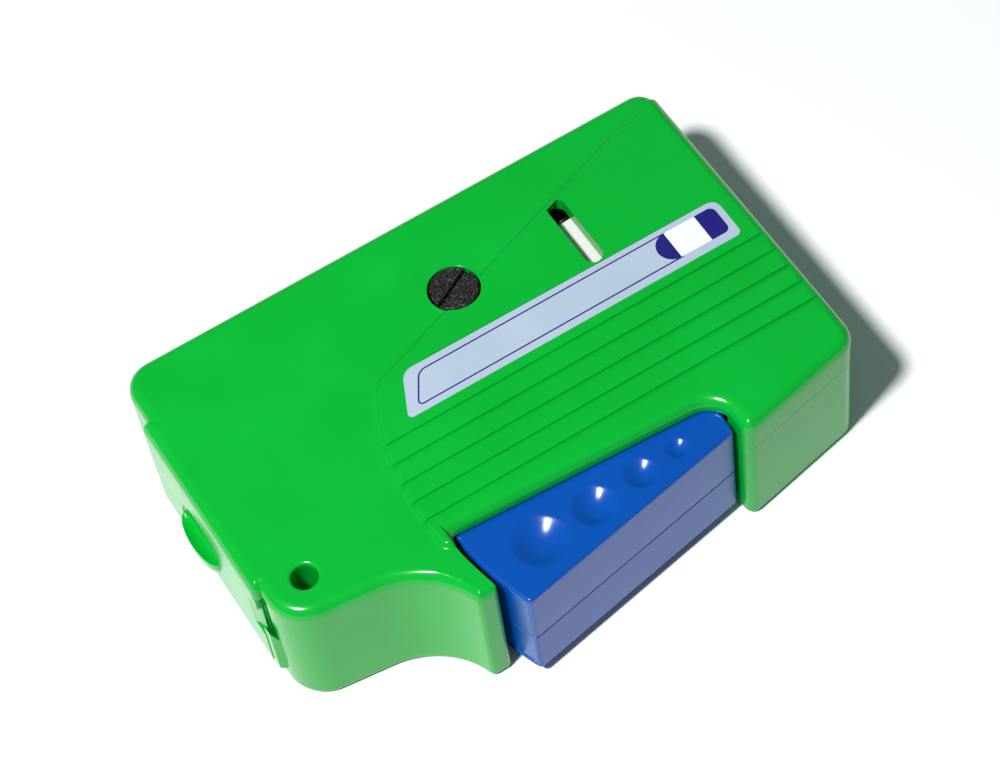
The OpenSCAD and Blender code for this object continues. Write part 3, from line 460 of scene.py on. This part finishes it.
def inside(x, y, outline):
    """True if a line from the point to the right crosses the outline an odd number of times."""
    odd = False
    for k in range(len(outline)):
        (x0, y0), (x1, y1) = outline[k - 1], outline[k]
        if (y0 > y) != (y1 > y) and x < x0 + (y - y0) / (y1 - y0) * (x1 - x0):
            odd = not odd
    return odd


def grid_inside(outline):
    """Points of a staggered grid that lie inside an outline."""
    grid = []
    for i in range(int(GRID_SIZE[0] / GRID_STEP)):
        for j in range(int(GRID_SIZE[1] / GRID_STEP)):
            x = GRID_CORNER[0] + i * GRID_STEP + (j % 2) * GRID_STEP / 2
            y = GRID_CORNER[1] + j * GRID_STEP
            if inside(x, y, outline):
                grid.append(Vector((x, y)))
    return grid


print("grid points on the lever:", len(grid_inside(lever_plan(0))))

# %% Upper half of the lever
LEVER_TOP, LEVER_SEAM = 29.4, 15.04
EDGE_R, SEAM_CUT, PLAIN_RIM = 0.8, 0.28, 0.3


def lever_top():
    """A closed shell: the side with its rounded edge, the flat seam, and the dimpled top."""
    rings = [(SEAM_CUT, LEVER_SEAM), (0.0, LEVER_SEAM + SEAM_CUT)]
    rings += [(EDGE_R * (1 - cos(radians(a))), LEVER_TOP - EDGE_R * (1 - sin(radians(a))))
              for a in (0, 18, 36, 54, 72, 90)]
    points = [(x, y, height) for inset, height in rings for x, y in lever_plan(inset)]
    count = len(points) // len(rings)
    faces = side_faces(count, len(rings)) + [tuple(reversed(range(count)))]
    border = [Vector(point) for point in lever_plan(EDGE_R)]
    border_lines = [(k, (k + 1) % count) for k in range(count)]
    grid = grid_inside(lever_plan(EDGE_R + PLAIN_RIM))
    filled = delaunay_2d_cdt(border + grid, border_lines, [], 1, 1e-5)
    last_ring = len(points) - count
    index = []
    for place, origin in zip(filled[0], filled[3]):
        if origin and origin[0] < count:
            index.append(last_ring + origin[0])
        else:
            index.append(len(points))
            points.append((place.x, place.y, LEVER_TOP - dimple_depth(place.x, place.y)))
    return points, faces + [tuple(index[k] for k in face) for face in filled[2]]


def even_normals(piece):
    """Smooth shading that stays flat on the large faces."""
    piece.data.shade_smooth()
    piece.modifiers.new("even_normals", "WEIGHTED_NORMAL")


lever = add_piece("lever_upper_moulding", *lever_top(), blue_abs, "lever")
even_normals(lever)
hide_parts("lever_upper")
print("lever top:", len(lever.data.polygons), "faces")

# %% [markdown]
# ## The lever's foot
# A thin skirt closes the gap below the lever's free end. It follows the end's own arc, so it is
# lofted through a few outlines of that arc, and the lowest of them are drawn in to round its
# foot. A bevel would round the upper edge as well, which has to meet the lever.

# %% Skirt under the lever's free end
SKIRT_ROWS = [(0.5, 2.8), (0.15, 2.95), (0.0, 3.3), (0.0, 5.2)]
SKIRT_START, SKIRT_END, SKIRT_WALL = 190.5, 202.2, 2.2


def end_skirt():
    """Each row is how far it is drawn in, and its height."""
    points = []
    for inset, height in SKIRT_ROWS:
        outer = arc(PIVOT, LEVER_R - inset, SKIRT_START, SKIRT_END, 16)
        inner = arc(PIVOT, LEVER_R - SKIRT_WALL + inset, SKIRT_END, SKIRT_START, 16)
        points += [(x, y, height) for x, y in outer + inner]
    count = len(points) // len(SKIRT_ROWS)
    faces = side_faces(count, len(SKIRT_ROWS))
    faces += [tuple(reversed(range(count))), tuple(range(len(points) - count, len(points)))]
    return points, faces


skirt = add_piece("lever_end_skirt", *end_skirt(), blue_abs, "lever")
even_normals(skirt)
print("skirt:", round(SKIRT_ROWS[-1][1] - SKIRT_ROWS[0][1], 2), "mm high")

# %% [markdown]
# ## The guide channel beside the nose
# An upright channel beside the nose takes the front edge of the shutter, and it is open only in
# its upper part. The shell's own mesh could be changed to close the lower part, but a CAD mesh
# is left alone here. So a filler closes it, flush with the outer face. The filler's top falls
# inwards, and a fine line between it and the wall runs down to the base.

# %% Channel rib
RIB_PLAN = [(0.25, -57.8), (3.0, -57.8), (3.0, -61.0), (1.5, -61.0), (0.25, -60.1)]
RIB_FOOT, RIB_TOP, RIB_SLOPE = 4.2, 18.3, 2.0


def channel_rib():
    """A five-sided prism whose top falls inwards from the outer face."""
    sides = len(RIB_PLAN)
    outer_x = RIB_PLAN[0][0]
    points = [(x, y, RIB_FOOT) for x, y in RIB_PLAN]
    points += [(x, y, RIB_TOP - RIB_SLOPE * (x - outer_x)) for x, y in RIB_PLAN]
    faces = [tuple(range(sides)), tuple(reversed(range(sides, 2 * sides)))]
    faces += [(k, k + sides, (k + 1) % sides + sides, (k + 1) % sides) for k in range(sides)]
    return points, faces


rib = add_piece("channel_rib", *channel_rib(), green_abs, "case")
soften(rib, width=0.2)
print("rib:", round(RIB_TOP - RIB_FOOT, 1), "mm high")

# %% [markdown]
# ## The label
# The label is a silver film with a fine woven print. It keeps the thin border and the plain
# dark shapes at its right end, and everything else on it is left bare. A picture could carry the
# print, but thin solid layers stay crisp at any distance, as ink on a film does.

# %% Outlines and prisms
def rounded(corners, steps=8):
    """An outline whose corners (x, y, radius) are rounded."""
    out = []
    for k, (x, y, radius) in enumerate(corners):
        here = Vector((x, y))
        before = (Vector(corners[k - 1][:2]) - here).normalized()
        after = (Vector(corners[(k + 1) % len(corners)][:2]) - here).normalized()
        half = before.angle(after) / 2
        middle = here + (before + after).normalized() * radius / sin(half)
        first, last = here + before * radius / tan(half), here + after * radius / tan(half)
        a, b = first - middle, last - middle
        turn = atan2(a.x * b.y - a.y * b.x, a.dot(b))
        start = atan2(a.y, a.x)
        out += [(middle.x + radius * cos(start + turn * n / steps),
                 middle.y + radius * sin(start + turn * n / steps)) for n in range(steps + 1)]
    return out


def prism(outline, low, high):
    count = len(outline)
    points = [(x, y, z) for z in (low, high) for x, y in outline]
    caps = [tuple(reversed(range(count))), tuple(range(count, 2 * count))]
    return points, caps + side_faces(count, 2)


print("faces of a square prism:", len(prism([(0, 0), (1, 0), (1, 1), (0, 1)], 0, 1)[1]))

# %% Label film
PAD_TOP = 32.9
LABEL_CORNER, LABEL_TURN = (120.2, -43.0), radians(0.55)
FILM_LOW, FILM_HIGH = PAD_TOP - 0.15, PAD_TOP + 0.06


def on_label(u, v):
    """A place on the label, measured from its front right corner along and across it."""
    return (LABEL_CORNER[0] + u * cos(LABEL_TURN) + v * sin(LABEL_TURN),
            LABEL_CORNER[1] - u * sin(LABEL_TURN) + v * cos(LABEL_TURN))


def label_part(outline, low, high):
    return prism([on_label(u, v) for u, v in outline], low, high)


film_outline = rounded([(0, -0.05, 1.3), (0, 9.95, 2.2), (-72.3, 9.75, 3.2), (-76.8, -0.45, 0.9)])
film = add_piece("label_film", *label_part(film_outline, FILM_LOW, FILM_HIGH), label_film, "case")
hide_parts("label_plate")
print("film:", len(film.data.polygons), "faces")

# %% Label border
LINE_WIDTH, LINE_HEIGHT = 0.32, PAD_TOP + 0.075


def strip(path, width):
    """Both sides of a band of even width along a closed path."""
    outer, inner = [], []
    count = len(path)
    for k in range(count):
        before, after = Vector(path[k - 1]), Vector(path[(k + 1) % count])
        along = (after - before).normalized()
        side = Vector((along.y, -along.x)) * width / 2
        outer.append(tuple(Vector(path[k]) + side))
        inner.append(tuple(Vector(path[k]) - side))
    return outer, inner


border = rounded([(-12.5, 1.8, 0.2), (-12.5, 8.6, 0.2), (-69.6, 8.1, 2.6), (-73.6, 1.15, 0.7)])
outer, inner = strip(border, LINE_WIDTH)
points = [(*on_label(*point), LINE_HEIGHT) for point in outer + inner]
add_piece("label_border", points, side_faces(len(border), 2), navy_ink, "case")
print("border:", LINE_WIDTH, "mm wide")

# %% Label blocks
BLOCK_FRONT, BLOCK_BACK, BLOCK_LEFT = 1.85, 8.7, -5.8
BLANK_LEFT, BLANK_RIGHT, BLANK_BACK = -12.95, -5.85, 8.65
PRINT_LOW, PRINT_HIGH = PAD_TOP + 0.055, PAD_TOP + 0.08

half_round = arc((-13.0, 5.2), 3.4, 90, 270, 24)
block = rounded([(-1.45, BLOCK_FRONT, 1.4), (-1.45, BLOCK_BACK, 1.4),
                 (BLOCK_LEFT, BLOCK_BACK, 0.1), (BLOCK_LEFT, BLOCK_FRONT, 0.1)])
blank = [(BLANK_LEFT, BLOCK_FRONT), (BLANK_RIGHT, BLOCK_FRONT),
         (BLANK_RIGHT, BLANK_BACK), (BLANK_LEFT, BLANK_BACK)]
label_prints = [("label_half_round", half_round, navy_ink), ("label_block", block, navy_ink),
                ("label_blank", blank, white_ink)]
for name, outline, ink in label_prints:
    add_piece(name, *label_part(outline, PRINT_LOW, PRINT_HIGH), ink, "case")
print("printed blocks:", len(label_prints))

# %% [markdown]
# ## The slotted drive head
# The black head is turned with a coin to tighten the tape, and its slot is open to the rim at
# both ends. A slot could be cut with a Boolean, but the cut can leave stray faces. So the head
# is stacked from closed solids: the steps of the shaft, a disc, and two half discs that leave
# the slot free between them.

# %% Drive head
SLOT_TURN, SLOT_HALF, HEAD_R = 28.0, 0.75, 5.0
SHAFT_STEPS = [(2.0, 1.0, 2.45), (2.5, 2.4, 28.8), (4.0, 26.3, 28.85), (HEAD_R, 28.8, 30.6)]
HALF_DISC_LOW, HALF_DISC_HIGH = 30.55, 32.15


def stack(parts):
    """Several closed solids as one mesh."""
    points, faces = [], []
    for more, skin in parts:
        shift = len(points)
        points += more
        faces += [tuple(shift + k for k in face) for face in skin]
    return points, faces


def circle(centre, radius, steps):
    return arc(centre, radius, 0, 360, steps)[:-1]


def drive_head():
    """Each step is its radius and its lower and upper end."""
    parts = [prism(circle(HEAD, radius, 72), low, high) for radius, low, high in SHAFT_STEPS]
    slot_end = degrees(asin(SLOT_HALF / HEAD_R))
    for side in (SLOT_TURN, SLOT_TURN + 180):
        half_disc = arc(HEAD, HEAD_R, side + slot_end, side + 180 - slot_end, 40)
        parts.append(prism(half_disc, HALF_DISC_LOW, HALF_DISC_HIGH))
    return stack(parts)


head = add_piece("drive_shaft_turned", *drive_head(), head_black, "drive")
head.data.shade_smooth()
rounded_edges(head, width=0.18, limit=40)
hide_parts("drive_shaft")
print("drive head:", 2 * HEAD_R, "mm across, slot", 2 * SLOT_HALF, "mm wide")

# %% [markdown]
# ## The collar round the head
# A narrow moulded collar surrounds the head. It could be lathed from a profile with the Screw
# modifier, but four circles joined by faces give the same ring, and the tape roll uses them too.

# %% Collar
COLLAR_INNER_R, COLLAR_OUTER_R, COLLAR_LOW, COLLAR_HIGH = 5.38, 6.05, 30.2, 32.02


def ring_solid(centre, inner_r, outer_r, low, high, steps=96):
    """A flat ring: four circles, each joined to the next and the last to the first."""
    outer, inner = circle(centre, outer_r, steps), circle(centre, inner_r, steps)
    rows = [(outer, low), (outer, high), (inner, high), (inner, low)]
    points = [(x, y, z) for row, z in rows for x, y in row]
    faces = [tuple(k % len(points) for k in face) for face in side_faces(steps, len(rows) + 1)]
    return points, faces


collar_solid = ring_solid(HEAD, COLLAR_INNER_R, COLLAR_OUTER_R, COLLAR_LOW, COLLAR_HIGH)
collar = add_piece("head_hole_collar", *collar_solid, green_abs, "case")
collar.data.shade_smooth()
rounded_edges(collar, width=0.14, limit=40)
print("collar wall:", round(COLLAR_OUTER_R - COLLAR_INNER_R, 2), "mm")

# %% [markdown]
# ## The wound tape under the window
# The window shows the side of the tape roll. Its wound layers look like fine rings. The CAD roll
# doesn't reach as far as the window shows tape, so a thin ring with the wound finish lies on the
# reel's flange.

# %% Tape roll face
ROLL_INNER_R, ROLL_OUTER_R, ROLL_LOW, ROLL_HIGH = 9.2, 21.4, 28.42, 28.62

roll_solid = ring_solid(SUPPLY, ROLL_INNER_R, ROLL_OUTER_R, ROLL_LOW, ROLL_HIGH)
add_piece("tape_roll_face", *roll_solid, tape_rings, "supply")
print("tape roll:", 2 * ROLL_OUTER_R, "mm across")

# %% [markdown]
# ## The edge of the raised pad
# The pad's back and left edges fall to the plain face in a soft S-shaped step. A plain bevel is
# only round, so a profile of its own is swept along the edge: a straight stretch on each side of
# the drive head, and then a large arc. The skin is left open where the grip grooves run out.

# %% Path of the pad edge
PAD_START, PAD_TURN = Vector((120.8, -5.1)), Vector((43.0, -32.2))
PAD_CENTRE, PAD_R = Vector((95.0, -62.0)), 60.0
ARC_TOP, ARC_END, ROW_STEP = -33.4, -67.4, 0.8
GROOVE_TOPS, GROOVE_WIDTH = [-45.1 - 4.65 * k for k in range(5)], 1.3
HEAD_CLEAR, STRAIGHT_GAP = 6.1, 1.0


def straight_runs():
    """The stretches before and after the drive head, as (point, direction outwards)."""
    along = PAD_TURN - PAD_START
    length = along.length
    along.normalize()
    side = Vector((along.y, -along.x))
    to_head = Vector(HEAD) - PAD_START
    half = sqrt(HEAD_CLEAR ** 2 - side.dot(to_head) ** 2)
    near, far = along.dot(to_head) - half, along.dot(to_head) + half
    stops = (STRAIGHT_GAP, near / 2, near), (far, (far + length) / 2, length - STRAIGHT_GAP)
    return [[(PAD_START + along * stop, side) for stop in run] for run in stops]


def pad_edge_runs():
    """All stretches between the gaps. The second straight one goes on into the arc."""
    before_head, run = straight_runs()
    yield before_head
    limits = [ARC_TOP] + [y for top in GROOVE_TOPS for y in (top, top - GROOVE_WIDTH)] + [ARC_END]
    for top, bottom in zip(limits[::2], limits[1::2]):
        steps = max(3, int((top - bottom) / ROW_STEP))
        for n in range(steps + 1):
            turn = pi - asin((top + (bottom - top) * n / steps - PAD_CENTRE.y) / PAD_R)
            out = Vector((cos(turn), sin(turn)))
            run.append((PAD_CENTRE + out * PAD_R, out))
        yield run
        run = []


print("runs of the pad edge:", len(list(pad_edge_runs())))

# %% Pad edge
PAD_PROFILE = [(-0.55, 32.912), (-0.1, 32.90), (0.2, 32.80), (0.5, 32.5), (0.75, 32.2), (1.0, 32.0),
               (1.25, 31.93), (1.6, 31.912)]


def sheet_faces(first, rows, wide):
    """Faces of an open sheet of points that starts at point first."""
    return [(a, a + 1, a + 1 + wide, a + wide)
            for a in (first + row * wide + k for row in range(rows - 1) for k in range(wide - 1))]


points, faces = [], []
for run in pad_edge_runs():
    faces += sheet_faces(len(points), len(run), len(PAD_PROFILE))
    points += [(point.x + out.x * reach, point.y + out.y * reach, z)
               for point, out in run for reach, z in PAD_PROFILE]
pad_skin = add_piece("pad_edge_skin", points, faces, green_abs, "case")
pad_skin.data.shade_smooth()
print("pad edge:", len(faces), "faces")

# %% [markdown]
# ## The pad's front corner
# Beside the nose the pad ends in a rounded tail that runs out over the rim behind the lever. A
# skin of its own covers it. Its height at a point is the profile of the pad's edge at that
# point's distance from the tail's middle line, which keeps the step the same all the way round.

# %% Heights of the pad corner
TAIL_TOP, TAIL_END, TAIL_R = Vector((36.0, -66.6)), Vector((36.3, -69.3)), 0.95
RIM_BACK = [(-65.7, 36.3, 32.9), (-66.66, 36.52, 32.71), (-67.47, 36.72, 32.17), (-68.01, 36.86, 31.36),
            (-68.3, 36.98, 30.6)]


def profile_height(reach):
    for (r0, z0), (r1, z1) in zip(PAD_PROFILE, PAD_PROFILE[1:]):
        if reach <= r1:
            return z0 + (z1 - z0) * max(0.0, reach - r0) / (r1 - r0)
    return PAD_PROFILE[-1][1]


def corner_height(x, y):
    tail = TAIL_END - TAIL_TOP
    point = Vector((x, y))
    share = min(1.0, max(0.0, tail.dot(point - TAIL_TOP) / tail.length_squared))
    return profile_height((point - TAIL_TOP - tail * share).length - TAIL_R)


def back_rim(y):
    """Where the rounded edge behind the lever starts, from its (y, x, height) list."""
    for (y0, x0, z0), (y1, x1, z1) in zip(RIM_BACK, RIM_BACK[1:]):
        if y >= y1:
            share = (y0 - y) / (y0 - y1)
            return x0 + (x1 - x0) * share, z0 + (z1 - z0) * share
    return None, 0.0


print("height on the tail:", corner_height(*TAIL_TOP), "and 2 mm beside it:",
      round(corner_height(TAIL_TOP.x - 2, TAIL_TOP.y), 3))

# %% Pad corner
SKIN_BACK, SKIN_DEPTH, SKIN_LEFT = -66.4, 5.8, 33.3
RIM_X, RIM_BEND, RIM_BEND_FROM = 36.3, 0.0144, -68.3
RIM_DROPS = [(0.29, -0.17), (0.52, -0.71), (0.68, -1.52)]
ACROSS, DOWN = 24, 42


def corner_row(y):
    """One row of the skin: across the corner and down over the rim."""
    rim = RIM_X + RIM_BEND * max(0.0, RIM_BEND_FROM - y) ** 2
    places = [SKIN_LEFT + (rim - SKIN_LEFT) * i / ACROSS for i in range(ACROSS + 1)]
    row = [(x, y, corner_height(x, y)) for x in places]
    edge_x, edge_z = back_rim(y)
    for out, drop in RIM_DROPS:
        z = corner_height(rim, y) + drop
        row.append((edge_x, y, edge_z) if z < edge_z else (rim + out, y, z))
    return row


points = [point for j in range(DOWN + 1) for point in corner_row(SKIN_BACK - SKIN_DEPTH * j / DOWN)]
wide = ACROSS + 1 + len(RIM_DROPS)
faces = [(a, d, c, b) for a, b, c, d in sheet_faces(0, DOWN + 1, wide)
         if points[a] != points[b] and points[d] != points[c]]
pad_corner = add_piece("pad_corner_skin", points, faces, green_abs, "case")
pad_corner.data.shade_smooth()
print("pad corner:", len(faces), "faces")

# %% [markdown]
# ## The shutter's thumb ledge
# A thumb nail rests on a dished ledge: a bulge below it stands out of the plate, and a shallow
# scoop is cut into the plate above it. Both are halves of an egg shape, so one function draws
# them. The plate itself is a copy of the CAD one, because a CAD mesh is never changed. Boolean
# cuts take its plain dome off and sink the scoop, and their result is kept as a plain mesh.

# %% Ledge shapes
LEDGE_Z, LEDGE_Y, LEDGE_HALF, LEDGE_DISH = 13.0, -31.05, 7.5, 1.0
PLATE_X = 0.1
EGG_ROWS = 11


def half_egg(reach, high, turns, closed, root=0.0, lifted=0.0):
    """Dish at the ledge's height and half an egg from it, over the given turns."""
    ledge, base, around = LEDGE_Z + lifted, PLATE_X + root, len(turns)
    rows = [[(share, turn, ledge - LEDGE_DISH * (1 - share * share)) for turn in turns]
            for share in (0.25, 0.5, 0.75)]
    for k in range(EGG_ROWS):
        lift = pi / 2 * k / EGG_ROWS
        rows.append([(cos(lift), turn, ledge + high * sin(lift)) for turn in turns])
    points = [(base + reach * share * cos(turn), LEDGE_Y + LEDGE_HALF * share * sin(turn), z)
              for row in rows for share, turn, z in row]
    low, top, last_row = len(points), len(points) + 1, (len(rows) - 1) * around
    points += [(base, LEDGE_Y, ledge - LEDGE_DISH), (base, LEDGE_Y, ledge + high)]
    faces = []
    for n in range(around if closed else around - 1):
        m = (n + 1) % around
        faces += [(low, m, n), (last_row + n, last_row + m, top)]
        faces += [(k * around + n, k * around + m, (k + 1) * around + m, (k + 1) * around + n)
                  for k in range(len(rows) - 1)]
    if not closed:
        side = [k * around for k in range(len(rows))]
        far = [k * around + around - 1 for k in range(len(rows))]
        faces.append(tuple([low] + side + [top] + far[::-1]))
    return points, faces


print("ledge:", 2 * LEDGE_HALF, "mm wide")

# %% Cut the plate
SCOOP_IN, SCOOP_HIGH = 1.12, 8.0
DOME_OUT, DOME_FRONT, DOME_BACK, DOME_BELOW, DOME_ABOVE = -6.0, 16.0, 12.0, 7.5, 15.0


def dome_block():
    """A block in front of the plate that holds the whole dome."""
    front, back = LEDGE_Y - DOME_FRONT, LEDGE_Y + DOME_BACK
    outline = [(DOME_OUT, front), (PLATE_X, front), (PLATE_X, back), (DOME_OUT, back)]
    return prism(outline, LEDGE_Z - DOME_BELOW, LEDGE_Z + DOME_ABOVE)


plate_mesh = nodes["shutter"].data.copy()
plate_mesh.transform(nodes["shutter"].matrix_world)
plate_blank = add_object("plate_blank", plate_mesh)
whole_turn = [2 * pi * n / 64 for n in range(64)]
scoop = half_egg(SCOOP_IN, SCOOP_HIGH, whole_turn, closed=True)
cutters = [loose_piece("ledge_block", *dome_block()), loose_piece("ledge_scoop", *scoop)]
for cutter in cutters:
    cut = plate_blank.modifiers.new(cutter.name, "BOOLEAN")
    cut.operation, cut.solver, cut.object = "DIFFERENCE", "EXACT", cutter
cut_mesh = plate_blank.evaluated_get(bpy.context.evaluated_depsgraph_get()).to_mesh()
points = [(v.co.x / MM - SHIFT_X, v.co.y / MM - SHIFT_Y, v.co.z / MM) for v in cut_mesh.vertices]
faces = [tuple(face.vertices) for face in cut_mesh.polygons]
for leftover in cutters + [plate_blank]:
    bpy.data.objects.remove(leftover)
shutter_plate = add_piece("shutter_ledged", points, faces, green_abs, "shutter")
shutter_plate.data.shade_smooth()
soften(shutter_plate)
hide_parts("shutter")
print("shutter:", len(faces), "faces")

# %% Bulge below the ledge
BULGE_OUT, BULGE_DEEP, BULGE_ROOT, BULGE_LIFT = 2.3, 7.8, 0.25, 0.012

half_turn = [pi / 2 - pi * n / 40 for n in range(41)]
below_ledge = half_egg(-BULGE_OUT - BULGE_ROOT, -BULGE_DEEP, half_turn, closed=False,
                       root=BULGE_ROOT, lifted=BULGE_LIFT)
bulge = add_piece("shutter_thumb_bulge", *below_ledge, green_abs, "shutter")
bulge.data.shade_smooth()
soften(bulge, width=0.15)
print("bulge stands out", BULGE_OUT, "mm")

# %% [markdown]
# ## The return spring
# The coil between the case and the lever gets shorter as the lever is squeezed. A solid from CAD
# can't do that, so the coil is wound again with a round wire: a small circle is carried along a
# helix, turn by turn.

# %% Return spring
TURNS, PER_TURN, WIRE_SIDES, WIRE_R = 4, 28, 10, 0.35

cad_coil = nodes["lever_spring"]
box = [cad_coil.matrix_world @ Vector(corner) / MM for corner in cad_coil.bound_box]
low, high = ([pick(corner[axis] for corner in box) for axis in range(3)] for pick in (min, max))
middle_x, middle_z = (low[0] + high[0]) / 2 - SHIFT_X, (low[2] + high[2]) / 2
seat_y, lever_y = high[1] - SHIFT_Y, low[1] - SHIFT_Y
coil_r = (high[0] - low[0]) / 2 - WIRE_R


def coil():
    """A helix of small circles, closed at both ends."""
    points = []
    for k in range(TURNS * PER_TURN + 1):
        turn, share = 2 * pi * k / PER_TURN, k / (TURNS * PER_TURN)
        along = seat_y - WIRE_R - (seat_y - lever_y - 2 * WIRE_R) * share
        for n in range(WIRE_SIDES):
            around = 2 * pi * n / WIRE_SIDES
            reach = coil_r + WIRE_R * cos(around)
            points.append((middle_x + reach * cos(turn), along + WIRE_R * sin(around),
                           middle_z + reach * sin(turn)))
    faces = [(a, d, c, b) for a, b, c, d in side_faces(WIRE_SIDES, TURNS * PER_TURN + 1)]
    faces.append(tuple(range(WIRE_SIDES)))
    faces.append(tuple(reversed(range(len(points) - WIRE_SIDES, len(points)))))
    return points, faces


spring = add_piece("lever_spring_coil", *coil(), steel, "case")
spring.data.shade_smooth()
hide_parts("lever_spring")
seat = place_point(middle_x, seat_y, middle_z)
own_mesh(spring)
print("spring:", TURNS, "turns, length", round(seat_y - lever_y, 2), "mm")

# %% [markdown]
# ## Show the colours as written
# Blender's usual view transform softens bright colours, which suits films. This cassette should
# show the colours as they are written, so the plain one is set.

# %% View settings and the last line
bpy.context.scene.view_settings.view_transform = "Standard"
print("view transform:", bpy.context.scene.view_settings.view_transform)
